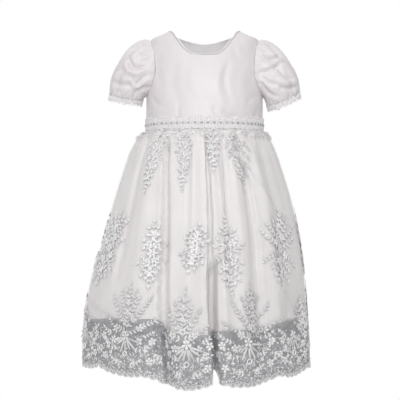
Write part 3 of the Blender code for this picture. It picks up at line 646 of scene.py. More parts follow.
def makeBodiceStitches(lap):
    # a row round the neck, closer to the edge at the shoulders, and one down the lap
    rows = []
    turn = np.linspace(-178, 178, 900)
    nearShoulder = np.abs(wrap(turn - 90)) * np.abs(wrap(turn + 90)) < 400
    below = bodiceValues["neckStitch"] * np.where(nearShoulder, 0.6, 1.0)
    z = smoothCurve(neckTable, 1, np.abs(turn)) - below
    clear = np.abs(np.abs(turn) - 90) > 3
    for part in (clear & (np.abs(turn) < 90), clear & (turn > 90), clear & (turn < -90)):
        rows.append(seamStitches(turn[part], z[part]))
    height = np.linspace(-0.010, form["trimTop"] - 0.002, 120)
    rows.append(seamStitches(np.full(120, 180 + lap * 0.55), height))
    # a thin dark cord just under the neck's edge
    for start, end in ((-89.0, 89.0), (91.0, 180 + lap * 0.9), (-180 + lap * 1.2, -91.0)):
        around = np.linspace(start, end, 300)
        edge = smoothCurve(neckTable, 1, np.minimum(np.abs(around), 360 - np.abs(around)))
        low = edge - bodiceValues["neckCordDrop"]
        line = bodyPoint(around, low) + bodyNormal(around, low) * 0.0002
        rows.append(cordTube(line, bodiceValues["neckCord"], bodyNormal(around, edge), 0.10, closed=False))
    points, faces, tone = joinParts(rows)
    item = makeObject("BodiceStitches", points, faces, silverThread, tone=tone)


# half of the lap, in degrees round the waist
lapDegrees = math.degrees(form["lap"] / 2 / bodyTable[-1][1])
halfSeam = form["seamGap"] / 2 + 0.00005
makeFrontBodice(halfSeam)
makeBackBodices(halfSeam, lapDegrees)
makeBodiceStitches(lapDegrees)
print("bodice made")


# Back buttons: a turned profile with a dished face, and a cross of thread in its middle

buttonValues = {"radius": 0.0048, "thickness": 0.0022, "heights": (-0.0180, -0.0570, -0.0960, -0.1320),
                "sides": 40, "gap": 0.0003, "threadHalf": 0.0013, "stitch": (0.0009, 0.0013, 0.0005)}


def makeButtons():
    # radius and height of the profile, from the front's middle round to the back's middle
    profile = np.array(((0.0, 0.62), (0.35, 0.62), (0.55, 0.68), (0.66, 0.92), (0.80, 1.0), (0.93, 0.93),
                        (1.0, 0.72), (1.0, 0.40), (0.93, 0.12), (0.80, 0.0), (0.0, 0.0)))
    sides = buttonValues["sides"]
    angle = np.linspace(0, 2 * math.pi, sides, endpoint=False)
    r, h = profile[1:-1, 0], profile[1:-1, 1] * buttonValues["thickness"]
    base = sides * len(r)
    index = np.arange(base).reshape(sides, len(r))
    following = np.roll(index, -1, 0)
    quads = np.stack([index[:, :-1], following[:, :-1], following[:, 1:], index[:, 1:]], -1).reshape(-1, 4)
    front = np.stack([np.full(sides, base), following[:, 0], index[:, 0]], -1)
    back = np.stack([np.full(sides, base + 1), index[:, -1], following[:, -1]], -1)
    triangles = np.concatenate([splitQuads(quads), front, back])
    for number, height in enumerate(buttonValues["heights"], start=1):
        normal = bodyNormal(np.array(180.0), np.array(height))
        at = bodyPoint(180.0, height) + normal * (form["seamGap"] + buttonValues["gap"])
        up = unit(np.array([0.0, 0.0, 1.0]) - normal * normal[2])
        side = np.cross(up, normal)
        ring = buttonValues["radius"] * (np.cos(angle)[:, None] * side + np.sin(angle)[:, None] * up)
        body = at + ring[:, None] * r[None, :, None] + normal * h[None, :, None]
        middle = at + normal * profile[0, 1] * buttonValues["thickness"]
        points = np.concatenate([body.reshape(-1, 3), [middle, at]])
        button = makeObject("BackButton" + str(number), points, triangles, pearlFinish, sharpAngle=60)
        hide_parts("back_button_" + str(number))
        cross = []
        for tilt in (0.7854, -0.7854):
            direction = math.cos(tilt) * side + math.sin(tilt) * up
            reach = buttonValues["threadHalf"] * np.linspace(-1, 1, 9)[:, None]
            line = middle + normal * 0.00015 + direction * reach
            cross.append(stitchRow(line, np.tile(normal, (9, 1)), *buttonValues["stitch"]))
        points, faces, tone = joinParts(cross)
        thread = makeObject("ButtonThread" + str(number), points, faces, laceThread, tone=tone)


makeButtons()
print("buttons made")


# Sleeves

sleeveValues = {
    "columns": 180, "rows": 56, "fineGathers": 27, "fineDepth": 0.0009, "gap": 0.0003,
    # creases seen from the front and the back: x and height of both ends, half width, depth
    "front": {
        "left": (
            (-0.1262, -0.04, -0.1225, -0.053, 0.0066, -0.005),
            (-0.124, -0.05, -0.11, -0.0575, 0.0073, -0.0059),
            (-0.112, -0.0575, -0.0935, -0.05, 0.0063, -0.0053),
            (-0.132, -0.053, -0.118, -0.068, 0.0083, 0.004),
            (-0.118, -0.068, -0.102, -0.0625, 0.0076, 0.0034),
            (-0.1563, -0.078, -0.118, -0.0846, 0.0086, -0.0047),
            (-0.124, -0.08, -0.105, -0.0925, 0.0069, 0.0034),
            (-0.0895, -0.089, -0.119, -0.1046, 0.0066, -0.0053),
            (-0.097, -0.072, -0.116, -0.098, 0.0059, -0.004),
            (-0.123, -0.021, -0.106, -0.0134, 0.0049, -0.0043),
            (-0.107, -0.0134, -0.092, -0.0155, 0.0046, -0.004),
            (-0.1062, -0.0418, -0.0861, -0.0352, 0.0025, -0.0029),
            (-0.108, -0.0335, -0.087, -0.0301, 0.0025, -0.0029),
            (-0.1500, -0.0600, -0.1370, -0.0500, 0.0066, -0.0031),
            (-0.1490, -0.0960, -0.1330, -0.0930, 0.0059, -0.0028)),
        "right": (
            (0.093, -0.034, 0.111, -0.042, 0.0056, -0.0053), (0.11, -0.042, 0.126, -0.0345, 0.0056, -0.005),
            (0.096, -0.048, 0.124, -0.045, 0.0073, 0.0031), (0.094, -0.0645, 0.125, -0.0495, 0.0066, -0.004),
            (0.123, -0.0555, 0.146, -0.075, 0.0066, -0.004),
            (0.129, -0.0905, 0.155, -0.0865, 0.0056, -0.0053), (0.125, -0.08, 0.15, -0.08, 0.0083, 0.0031),
            (0.096, -0.085, 0.12, -0.106, 0.0066, -0.0047), (0.099, -0.076, 0.118, -0.085, 0.0066, -0.0031),
            (0.088, -0.024, 0.103, -0.029, 0.0025, -0.0029), (0.088, -0.016, 0.104, -0.02, 0.0025, -0.0026),
            (0.1120, -0.0180, 0.1300, -0.0270, 0.0066, -0.0031)),
    },
    "back": {
        "left": ((-0.1240, -0.0370, -0.1120, -0.0500, 0.0059, -0.0047),
                 (-0.1120, -0.0500, -0.0960, -0.0440, 0.0056, -0.0040),
                 (-0.148, -0.074, -0.118, -0.079, 0.0079, -0.0043),
                 (-0.125, -0.103, -0.094, -0.084, 0.0066, -0.0047),
                 (-0.0900, -0.0340, -0.1080, -0.0300, 0.0028, -0.0026),
                 (-0.1280, -0.0600, -0.1120, -0.0660, 0.0079, 0.0034)),
        "right": ((0.0970, -0.0310, 0.1140, -0.0400, 0.0056, -0.0047),
                  (0.1140, -0.0400, 0.1280, -0.0330, 0.0056, -0.0043),
                  (0.125, -0.088, 0.148, -0.081, 0.0066, -0.0043),
                  (0.096, -0.084, 0.118, -0.103, 0.0066, -0.0047),
                  (0.1240, -0.0560, 0.1440, -0.0650, 0.0069, -0.0034),
                  (0.1020, -0.0560, 0.1180, -0.0620, 0.0079, 0.0031)),
    },
}


def sleeveGrid(side, count, rows):
    # rows: shares of the length from the armhole, 0, to the cuff, 1; the four Bezier points are
    # the armhole, the armhole plus leave, the cuff plus arrive, and the cuff
    cuffX, cuffY, cuffZ, out, outRise, front, frontDrop, puff = cuffTable[side]
    share = -np.arange(count) / count
    hole = armholeCurve(share)
    edge = bodyPoint(hole[:, 0], hole[:, 1])
    normal = bodyNormal(hole[:, 0], hole[:, 1])
    away = np.cross(normal, unit(np.roll(edge, -1, 0) - np.roll(edge, 1, 0)))
    away *= np.sign(np.sum(away * (edge.mean(axis=0) - edge), axis=-1, keepdims=True))
    start = edge + away * (form["seamGap"] + sleeveValues["gap"])
    turn = 2 * math.pi * share
    cos, sin = np.cos(turn), np.sin(turn)
    end = np.stack([cuffX + out * cos, cuffY - front * sin, cuffZ + outRise * cos - frontDrop * sin], -1)
    leave = np.stack([0.0165 + 0.0135 * cos, -0.014 * sin, 0.0055 * (1 + cos)], -1) * puff
    arrive = np.stack([0.0015 * cos, -0.012 * sin, 0.021 + 0.018 * cos], -1) * puff
    t = rows[None, :, None]
    grid = ((1 - t) ** 3 * start[:, None] + 3 * (1 - t) ** 2 * t * (start + leave)[:, None]
            + 3 * (1 - t) * t**2 * (end + arrive)[:, None] + t**3 * end[:, None])
    normals = gridNormals(grid, True)
    t = t[..., 0]
    # gathers: cosines round the sleeve, fading from the shoulder and towards the cuff
    top = 0.0032 * np.sin(math.pi * np.clip(t / 0.62, 0, 1)) * np.clip(0.5 + 0.7 * cos, 0, 1)[:, None]
    fade = 0.0018 * np.sin(math.pi * np.clip((t - 0.5) / 0.46, 0, 1))
    fade = fade * np.clip(0.7 + 0.5 * cos, 0, 1)[:, None]
    wander = turn[:, None] + 0.10 * np.sin(2.3 * t * math.pi + 3 * turn[:, None])
    relief = top * np.cos(form["sleeveGathers"] * wander) + fade * np.cos(form["cuffGathers"] * wander + 1)
    fine = sleeveValues["fineDepth"] * np.clip(t / 0.04, 0, 1) * np.clip(1 - t / 0.42, 0, 1) ** 1.3
    fine = fine * np.clip(0.75 + 0.5 * cos, 0.25, 1)[:, None]
    swing = 2 * np.sin(2 * turn)[:, None] + 1.5 * t
    relief += fine * np.cos(sleeveValues["fineGathers"] * turn[:, None] + swing)
    low = 0.0007 * np.clip((1 - t) / 0.03, 0, 1) * np.clip(1 - (1 - t) / 0.30, 0, 1) ** 1.2
    relief += low * np.cos(23 * turn[:, None] + 1.5 * np.sin(3 * turn)[:, None])
    return grid, normals, relief


def makeSleeve(side):
    # the table's creases come on top of the gathers, each only on the face that shows it
    rows = np.linspace(0, 1, sleeveValues["rows"]) ** 1.1
    grid, normals, relief = sleeveGrid(side, sleeveValues["columns"], rows)
    sign = -1.0 if side == "left" else 1.0
    x = grid[..., 0] * sign
    ends = np.sin(math.pi * np.clip(rows, 0, 1))[None] ** 0.5
    for face, toward in (("front", -1), ("back", 1)):
        weight = np.clip(toward * normals[..., 1] * 2.0 - 0.2, 0, 1)
        relief = relief + creaseDepth(x, grid[..., 2], sleeveValues[face][side]) * weight * ends
    outer = grid + normals * relief[..., None]
    inner = outer - gridNormals(outer, True) * form["satinWall"]
    around = np.linspace(0, 2 * math.pi, len(outer), endpoint=False)
    u = np.abs(wrap(np.degrees(around)))
    uv = np.stack(np.broadcast_arrays(np.radians(u)[:, None] * 0.036, rows[None] * 0.085), -1)
    turn = np.array([sign, 1.0, 1.0])
    outer, inner = outer * turn, inner * turn
    if side == "left":
        outer, inner, uv = outer[::-1], inner[::-1], uv[::-1]
    sleeve = makeWall("Sleeve" + side.capitalize(), outer, inner, satinCloth, uv, closed=True)
    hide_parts("sleeve_" + side)


# Lace on the cuffs: a pierced band's ground with raised loops, a cord and picots

cuffValues = {"scallops": 20, "steps": 12, "picots": 3, "knots": 420, "lift": 0.0004,
              "loopRadius": 0.00055, "edgeRadius": 0.0006, "loopAt": 0.0046, "loopSwing": 0.0021}


def makeCuffLace(side):
    # the band starts at the sleeve's last row and follows its direction there
    steps = cuffValues["steps"]
    count = cuffValues["scallops"] * steps
    grid, _, _ = sleeveGrid(side, count, np.array([0.9, 1.0]))
    end = grid[:, -1]
    normal = gridNormals(grid, True)[:, -1]
    run = unit(grid[:, -1] - grid[:, -2])
    down = unit(0.3 * run + 0.7 * unit(run.mean(axis=0)))
    normal = unit(normal - down * np.sum(normal * down, axis=-1, keepdims=True))
    phase = np.arange(count) / steps
    wave = np.abs(np.cos(math.pi * phase)) ** 0.7
    depth = form["cuffTrimWidth"] - form["cuffWave"] + 2 * form["cuffWave"] * wave
    across = np.linspace(0, 1, 7)
    top = form["seamGap"] + cuffValues["lift"]
    reach = top + (depth[:, None] - top) * across[None]
    ripple = 0.0005 * np.sin(math.pi * across)[None] * np.cos(2 * math.pi * phase)[:, None]
    outer = end[:, None] + down[:, None] * reach[..., None] + normal[:, None] * ripple[..., None]
    inner = outer - normal[:, None] * form["trimWall"]
    sign = np.array([-1.0 if side == "left" else 1.0, 1.0, 1.0])
    uv = np.stack(np.broadcast_arrays(phase[:, None] * 0.009, reach), -1)
    wallOuter, wallInner = outer * sign, inner * sign
    if side == "left":
        wallOuter, wallInner, uv = wallOuter[::-1], wallInner[::-1], uv[::-1]
    band = makeWall("CuffLaceBand" + side.capitalize(), wallOuter, wallInner, laceGround, uv, closed=True)
    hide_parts("cuff_trim_" + side)
    lift = normal * cuffValues["lift"]
    edge = end + down * (depth - 0.0003)[:, None] + lift
    parts = [cordTube(edge, cuffValues["edgeRadius"], normal, 0.75)]
    for shift in (0.0, 0.5):
        turn = 2 * math.pi * (phase + shift)
        low = down * (cuffValues["loopAt"] + cuffValues["loopSwing"] * np.cos(turn))[:, None]
        line = end + low + lift * (1.0 + 0.5 * np.sin(turn))[:, None]
        parts.append(cordTube(line, cuffValues["loopRadius"], normal, 0.8))
    # picots: small knots along the edge
    each = np.arange(0, count, steps // cuffValues["picots"])
    random = np.random.default_rng(seedNumber + (2 if side == "left" else 3))
    size = random.uniform(0.0008, 0.0020, len(each))
    past = depth[each] + random.uniform(-0.0006, 0.0021, len(each))
    places = end[each] + down[each] * past[:, None] + lift[each]
    scales = np.stack([size * 1.3, size, size * 0.7], -1)
    parts.append(makeKnots(places, down[each], normal[each], scales, random.uniform(0.1, 1.0, len(each))))
    # and stitched knots all over the band, a few of them up on the satin
    each = random.integers(0, count, cuffValues["knots"])
    size = random.uniform(0.0006, 0.0014, len(each))
    below = random.uniform(0.0008, 0.95, len(each)) * depth[each]
    places = end[each] + down[each] * below[:, None] + lift[each]
    heading = run[each] + 0.7 * random.uniform(-1, 1, (len(each), 3))
    scales = np.stack([size * 1.4, size * 0.8, size * 0.7], -1)
    parts.append(makeKnots(places, heading, normal[each], scales, random.uniform(0.15, 1.0, len(each))))
    points, faces, tone = joinParts(parts)
    faces = faces if side == "right" else faces[:, ::-1]
    cords = makeObject("CuffLaceCords" + side.capitalize(), points * sign, faces, laceThread, tone=tone)


for side in ("left", "right"):
    makeSleeve(side)
    makeCuffLace(side)
print("sleeves made")


# Waist trim: lace braid with cut stones and pearls

waistValues = {
    "columnsEach": 10, "wall": 0.0005, "gap": 0.0002, "aroundRadius": 0.088,
    "cord": 0.00045, "edgeCord": 0.0006, "cordLift": 0.0007, "chainAt": 0.0040, "chainHeight": 0.0026,
    "picot": 0.0011, "knots": 1700,
    # stones: half length, half width, height; pearls: radius, height above and below the middle
    "stone": (0.0021, 0.0018, 0.0022), "pearl": 0.0009, "pearlAt": 0.0013, "pearlLift": 0.0006,
}
upright = np.array([0.0, 0.0, 1.0])


def waistPlace(degrees, z, lift):
    # points at a distance from the bodice's surface: surface + normal * (both gaps + lift)
    away = form["seamGap"] + waistValues["gap"] + np.asarray(lift, float)
    return bodyPoint(degrees, z) + bodyNormal(degrees, z) * away[..., None]


def makeWaistBand(gap):
    # the lace stops gap degrees short of the centre back on both sides; returns its columns and edges
    count = form["trimScallops"] * waistValues["columnsEach"] + 1
    degrees = np.linspace(-180 + gap, 180 - gap, count)
    phase = np.arange(count) / waistValues["columnsEach"]
    wave = np.abs(np.sin(math.pi * phase)) ** 0.7 * 2 - 1
    uneven = 0.0007 * np.sin(2.7 * phase) + 0.0006 * np.sin(1.13 * phase + 1.0)
    top = form["trimTop"] + form["trimWave"] * wave + uneven
    bottom = form["trimBottom"] - form["trimWave"] * wave * 0.6 - 0.5 * uneven[::-1]
    rows = np.linspace(0, 1, 9)
    z = top[:, None] + (bottom - top)[:, None] * rows
    around = np.repeat(degrees[:, None], len(rows), 1)
    ripple = np.cos(2 * math.pi * phase)[:, None] * np.sin(2 * math.pi * rows)
    swell = waistValues["wall"] + 0.0002 * np.sin(math.pi * rows) + 0.0003 * ripple
    outer, inner = waistPlace(around, z, swell), waistPlace(around, z, 0.0 * z)
    uv = np.stack([np.radians(around) * waistValues["aroundRadius"], z], -1)
    band = makeWall("WaistBand", outer, inner, laceGround, uv)
    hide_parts("waist_trim")
    return degrees, phase, top, bottom


def makeWaistCords(gap, degrees, phase, top, bottom):
    # raised cords: two chains of loops, one along each edge, and the edges' own cords
    up = bodyNormal(degrees, np.full(len(degrees), -0.153))
    lift = waistValues["cordLift"]
    parts = []
    for centre in (form["trimTop"] - waistValues["chainAt"], form["trimBottom"] + waistValues["chainAt"]):
        for shift in (0.0, 0.5):
            height = centre + waistValues["chainHeight"] * np.cos(2 * math.pi * (phase + shift))
            over = 0.0003 * np.sin(4 * math.pi * phase + math.pi * shift * 2)
            line = waistPlace(degrees, height, lift + over)
            parts.append(cordTube(line, waistValues["cord"], up, 0.72, sides=5, closed=False))
    for edge, way in ((top, -1), (bottom, 1)):
        line = waistPlace(degrees, edge + way * 0.0004, lift - 0.0003 + 0 * edge)
        parts.append(cordTube(line, waistValues["edgeCord"], up, 0.55, sides=5, closed=False))
    # picots past both edges
    each = np.arange(2, len(degrees) - 1, 3)
    random = np.random.default_rng(seedNumber + 9)
    for edge, way in ((top, 1), (bottom, -1)):
        past = random.uniform(-0.0004, 0.0016, len(each))
        size = waistValues["picot"] * random.uniform(0.6, 1.4, (len(each), 1)) * np.ones((1, 3))
        places = waistPlace(degrees[each], edge[each] + way * past, lift - 0.0004 + 0 * edge[each])
        tone = random.uniform(0.3, 1.0, len(each))
        parts.append(makeKnots(places, np.tile(upright, (len(each), 1)), up[each], size, tone))
    # knots of stitching all over the lace, clear of the row of stones
    random = np.random.default_rng(seedNumber + 1)
    around = random.uniform(-180 + gap, 180 - gap, waistValues["knots"])
    share = random.uniform(0.02, 0.98, waistValues["knots"])
    share = np.where(np.abs(share - 0.5) < 0.13, share + np.sign(share - 0.5) * 0.22, share)
    height = np.interp(around, degrees, top) * (1 - share) + np.interp(around, degrees, bottom) * share
    size = random.uniform(0.0006, 0.0013, len(around))
    tone = random.uniform(0.25, 1.0, len(around))
    places = waistPlace(around, height, lift + 0 * around)
    scales = np.stack([size, size, size * 0.6], -1)
    normals = bodyNormal(around, height)
    parts.append(makeKnots(places, np.tile(upright, (len(around), 1)), normals, scales, tone))
    points, faces, tone = joinParts(parts)
    cords = makeObject("WaistCords", points, faces, laceThread, tone=tone)


def makeWaistStones(gap):
    # an eight-sided base, girdle and table, set along the middle
    angle = np.linspace(0, 2 * math.pi, 8, endpoint=False)
    girdle = np.stack([np.cos(angle), np.sin(angle), 0 * angle + 0.30], -1)
    table = np.stack([0.55 * np.cos(angle + 0.39), 0.55 * np.sin(angle + 0.39), 0 * angle + 0.72], -1)
    base = np.stack([0.9 * np.cos(angle), 0.9 * np.sin(angle), 0 * angle], -1)
    shape = np.concatenate([base, girdle, table, [[0, 0, 0.72]]])
    k, n = np.arange(8), (np.arange(8) + 1) % 8
    rims = [[k, n, n + 8], [k, n + 8, k + 8], [k + 8, n + 8, k + 16], [n + 8, n + 16, k + 16]]
    rims.append([k + 16, n + 16, np.full(8, 24)])
    faces = np.concatenate([np.stack(rim, -1) for rim in rims])
    middle = (np.arange(form["trimScallops"]) + 0.5) / form["trimScallops"]
    turn = -180 + gap + middle * (360 - 2 * gap)
    height = np.full(len(turn), (form["trimTop"] + form["trimBottom"]) / 2)
    places = waistPlace(turn, height, waistValues["wall"] + 0 * turn)
    normals = bodyNormal(turn, height)
    along = np.cross(np.tile(upright, (len(turn), 1)), normals)
    size = np.tile(waistValues["stone"], (len(turn), 1))
    points, faces = placeShapes(shape, faces, places, along, normals, size)
    stones = makeObject("WaistStones", points, faces, stoneFinish, smooth=False)


def makeWaistPearls(gap):
    # small balls between the stones, two at each gap
    rings, sides = 6, 10
    polar = np.linspace(0, math.pi, rings + 1)[1:-1, None]
    around = np.linspace(0, 2 * math.pi, sides, endpoint=False)
    circles = (np.sin(polar) * np.cos(around), np.sin(polar) * np.sin(around), np.cos(polar))
    ball = np.stack(np.broadcast_arrays(*circles), -1).reshape(-1, 3)
    shape = np.concatenate([ball, [[0, 0, 1], [0, 0, -1]]])
    index = np.arange(len(ball)).reshape(rings - 1, sides)
    a, b = index[:-1], index[1:]
    quads = np.stack([a, b, np.roll(b, -1, 1), np.roll(a, -1, 1)], -1).reshape(-1, 4)
    cap = np.stack([np.full(sides, len(ball)), index[0], np.roll(index[0], -1)], -1)
    foot = np.stack([np.full(sides, len(ball) + 1), np.roll(index[-1], -1), index[-1]], -1)
    faces = np.concatenate([splitQuads(quads), cap, foot])
    turn = -180 + gap + np.arange(1, form["trimScallops"]) / form["trimScallops"] * (360 - 2 * gap)
    places, normals = [], []
    for offset in (-waistValues["pearlAt"], waistValues["pearlAt"]):
        height = np.full(len(turn), (form["trimTop"] + form["trimBottom"]) / 2 + offset)
        places.append(waistPlace(turn, height, waistValues["wall"] + waistValues["pearlLift"] + 0 * turn))
        normals.append(bodyNormal(turn, height))
    places, normals = np.concatenate(places), np.concatenate(normals)
    scales = np.full((len(places), 3), waistValues["pearl"])
    points, faces = placeShapes(shape, faces, places, np.tile(upright, (len(places), 1)), normals, scales)
    pearls = makeObject("WaistPearls", points, faces, pearlFinish)


waistGap = lapDegrees * 0.25
makeWaistCords(waistGap, *makeWaistBand(waistGap))
makeWaistStones(waistGap)
makeWaistPearls(waistGap)
print("waist trim made")


# Skirts: the net one outside, the satin one inside

skirtValues = {
    "columns": 360, "rows": 76, "liningColumns": 210, "liningRows": 60, "liningInset": 0.0018, "puff": 0.0080,
    "fineWaves": 74, "fineDepth": 0.0012, "fineLength": 0.030, "edgeScallop": 0.0044, "edgeScallops": 88,
    "fineRows": 26, "liningFineRows": 22, "puffStart": -0.1618, "puffEnd": -0.1800, "edgeRow": 0.006,
    "liningWall": 0.0011, "liningGap": 0.0002, "seamDegrees": 0.1,
    # small creases: degrees at waist and hem, half widths, start and end height, depths
    "creases": (
        (-63.0, -66.0, 3.0, 4.2, -0.168, -0.235, -0.001, -0.0009),
        (-46.0, -48.0, 3.6, 4.8, -0.172, -0.235, -0.001, -0.001),
        (-31.0, -33.0, 2.4, 3.6, -0.168, -0.235, -0.001, -0.0007),
        (-18.0, -15.0, 1.9, 2.9, -0.168, -0.235, -0.0009, -0.0007),
        (-3.0, 1.0, 2.2, 2.9, -0.168, -0.235, -0.0011, -0.001),
        (8.0, 8.0, 1.9, 2.4, -0.168, -0.235, 0.0009, 0.0006),
        (16.5, 22.0, 1.9, 3.1, -0.168, -0.235, -0.0011, -0.0007),
        (30.0, 36.0, 2.4, 3.6, -0.168, -0.235, -0.001, -0.001),
        (44.0, 50.0, 2.6, 4.1, -0.168, -0.235, -0.001, -0.0009),
        (63.0, 66.0, 2.9, 4.3, -0.168, -0.235, -0.0009, -0.0009),
        (84.0, 86.0, 2.9, 4.1, -0.168, -0.235, -0.0009, -0.0009),
        (-84.0, -85.0, 2.9, 4.1, -0.168, -0.235, -0.0009, -0.0007),
        (106.0, 108.0, 2.6, 3.8, -0.168, -0.293, -0.0016, -0.0014),
        (124.0, 126.0, 2.6, 3.8, -0.168, -0.315, -0.0016, -0.0014),
        (143.0, 145.0, 2.4, 3.6, -0.168, -0.282, -0.0016, -0.0014),
        (161.0, 163.0, 2.4, 3.6, -0.168, -0.304, -0.0016, -0.0014),
        (180.0, 181.0, 2.4, 3.8, -0.168, -0.293, -0.0016, -0.0014),
        (199.0, 200.0, 2.4, 3.6, -0.168, -0.315, -0.0016, -0.0014),
        (218.0, 219.0, 2.6, 3.8, -0.168, -0.282, -0.0016, -0.0014),
        (237.0, 238.0, 2.6, 3.8, -0.168, -0.304, -0.0016, -0.0014),
        (255.0, 256.0, 2.6, 3.8, -0.168, -0.293, -0.0016, -0.0014),
    ),
}
# the last three numbers of a row are those of the folds: bend, lean and flatness
creaseTable = [row + (1.0, 0.4, 1.0) for row in skirtValues["creases"]]


def foldDepth(degrees, z, table):
    # each fold: depth * fade at both ends * hill(degrees from its line / half width)
    total = np.zeros(np.broadcast(degrees, z).shape)
    for topAt, hemAt, topWidth, hemWidth, startZ, endZ, topDepth, hemDepth, bend, lean, flatness in table:
        down = np.clip((form["waistZ"] - z) / (form["waistZ"] - form["hemZ"]), 0, 1)
        fade = np.clip((startZ - z) / 0.030, 0, 1) * np.clip((z - endZ) / 0.060, 0, 1)
        width = topWidth + (hemWidth - topWidth) * down
        away = wrap(degrees - topAt - (hemAt - topAt) * down**bend)
        away = away / (width * np.where(away > 0, 1 + lean, 1 - lean))
        total += (topDepth + (hemDepth - topDepth) * down) * fade * bump(away) ** flatness
    return total


def gatherDepth(degrees, z):
    # two sets of cosines round the waist; the coarse one fades over 50 mm, the fine one over 30 mm
    start = np.clip((form["waistZ"] - 0.002 - z) / 0.008, 0, 1)
    turn = np.radians(degrees)
    down = form["waistZ"] - z
    coarse = form["gatherDepth"] * np.clip(1 - down / form["gatherLength"], 0, 1)
    coarse = coarse * (0.75 + 0.25 * np.sin(3 * turn + 0.7))
    fine = skirtValues["fineDepth"] * np.clip(1 - down / skirtValues["fineLength"], 0, 1)
    fine = fine * (0.7 + 0.3 * np.sin(5 * turn + 1.9))
    return start * (coarse * np.cos(form["gathers"] * turn + 0.9 * np.sin(2 * turn))
                    + fine * np.cos(skirtValues["fineWaves"] * turn + 2.1 * np.sin(3 * turn)))


def skirtRadius(degrees, z):
    # an ellipse with unlike halves: 1 / root((sin / half width)^2 + (cos / depth)^2)
    turn = np.radians(degrees)
    half = (smoothCurve(skirtTable, 2, z) - smoothCurve(skirtTable, 1, z)) / 2
    depth = np.where(np.cos(turn) > 0, smoothCurve(skirtTable, 3, z), smoothCurve(skirtTable, 4, z))
    return 1 / np.sqrt((np.sin(turn) / half) ** 2 + (np.cos(turn) / depth) ** 2)


def skirtPlace(degrees, z, radius):
    # x = centre + radius * sin, y = -radius * cos, z as given
    turn = np.radians(degrees)
    centre = (smoothCurve(skirtTable, 2, z) + smoothCurve(skirtTable, 1, z)) / 2
    return np.stack([centre + radius * np.sin(turn), -radius * np.cos(turn), z], axis=-1)


def scallopShare(degrees):
    # how far round, from 0 to 1, within the border's own lobe
    edges = np.array(scallopEdges + (scallopEdges[0] + 360.0,))
    at = (np.asarray(degrees, float) - edges[0]) % 360.0 + edges[0]
    k = np.clip(np.searchsorted(edges, at, side="right") - 1, 0, len(edges) - 2)
    return (at - edges[k]) / (edges[k + 1] - edges[k])


def hemChange(degrees):
    # the hem's rise at each place round, with the pleat's own rise, less the lobes' drop
    pleat = bump(wrap(degrees - form["pleatAt"]) / form["pleatReach"]) ** 0.2
    lift = smoothCurve(hemTable, 1, wrap(degrees)) + form["pleatLift"] * pleat
    return lift - form["scallopDrop"] * np.sin(math.pi * scallopShare(degrees)) ** 0.8


def puffDepth(z):
    # rises within 3 mm under the trim and dies away over the next 15 mm
    rise = np.clip((skirtValues["puffStart"] - z) / 0.0030, 0, 1)
    fall = np.clip((z - skirtValues["puffEnd"]) / 0.0150, 0, 1)
    return skirtValues["puff"] * rise * (2 - rise) * fall**2 * (3 - 2 * fall)


def netRadius(degrees, z):
    # the smooth form, its folds, the gathers and their puff just under the trim
    return (skirtRadius(degrees, z) + puffDepth(z) + foldDepth(degrees, z, foldTable)
            + gatherDepth(degrees, z) + foldDepth(degrees, z, creaseTable))


def netSurface(degrees, level, lift=0.0):
    # a place on the net's outer face; level is the height before the hem's change
    degrees, level = np.broadcast_arrays(np.asarray(degrees, float), np.asarray(level, float))
    z = level + hemChange(degrees) * ((form["waistZ"] - level) / (form["waistZ"] - form["hemZ"])) ** 3
    return skirtPlace(degrees, z, netRadius(degrees, np.maximum(z, form["hemZ"])) + lift)


def netNormal(degrees, level):
    # cross product of a short step across and a short step up
    across = netSurface(degrees + 0.15, level) - netSurface(degrees - 0.15, level)
    up = netSurface(degrees, level + 0.0008) - netSurface(degrees, level - 0.0008)
    return unit(np.cross(across, up))


def edgeLift(degrees):
    # small scallops along the hem, of uneven height
    turn = np.radians(degrees)
    uneven = 0.70 + 0.30 * np.sin(turn * 23 + 1.3 * np.sin(turn * 7))
    wave = np.sin(turn * skirtValues["edgeScallops"] / 2 + 0.5 * np.sin(turn * 11))
    return skirtValues["edgeScallop"] * uneven * (1 - np.abs(wave) ** 0.8)


def foldColumns(start, end, count):
    # columns spread round, closer together where a fold is narrow
    fine = np.linspace(start, end, 4000)
    density = np.ones(fine.size)
    for fold in foldTable:
        density += 0.8 * abs(fold[7]) / 0.010 * bump(wrap(fine - fold[1]) / (fold[3] * 1.5)) * 5.0 / fold[3]
    total = np.concatenate([[0.0], np.cumsum((density[1:] + density[:-1]) / 2)])
    return np.interp(np.linspace(0, total[-1], count + 1), total, fine)


def skirtUv(degrees, z):
    # metres round and down, counted from the middle of the front or the back
    mean = skirtRadius(0.0 * degrees + 45.0, z)
    turn = wrap(degrees - 180.0) if degrees.min() > 80 else degrees
    return np.stack([np.radians(turn) * mean, z], -1)


def skirtRows(fineRows, rows, low):
    # closer together in the gathers
    fine = np.linspace(form["skirtTop"], form["gatherEnd"], fineRows)
    return np.concatenate([fine[:-1], np.linspace(form["gatherEnd"], low, rows - fineRows + 1)])


def makeNet(face, start, end):
    columns = foldColumns(start, end, skirtValues["columns"])
    rows = skirtRows(skirtValues["fineRows"], skirtValues["rows"], form["hemZ"])
    degrees, level = np.meshgrid(columns, rows, indexing="ij")
    outer = netSurface(degrees, level)
    # small scallops along the corded edge
    edge = np.clip((form["hemZ"] + skirtValues["edgeRow"] - level) / skirtValues["edgeRow"], 0, 1)
    outer[..., 2] += edge * edgeLift(degrees)
    inner = outer - gridNormals(outer) * form["netWall"]
    # tone: 0 where the satin skirt lies behind, 1 on the border below it, where the net is painted grey as
    # shade
    edgeZ = form["liningHemZ"] + smoothCurve(liningHemTable, 1, wrap(degrees))
    tone = np.clip((edgeZ + 0.001 - outer[..., 2]) / 0.003, 0, 1)
    net = makeWall("NetSkirt" + face, outer, inner, netCloth, skirtUv(degrees, outer[..., 2]), tone=tone)
    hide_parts("net_skirt_" + face.lower())


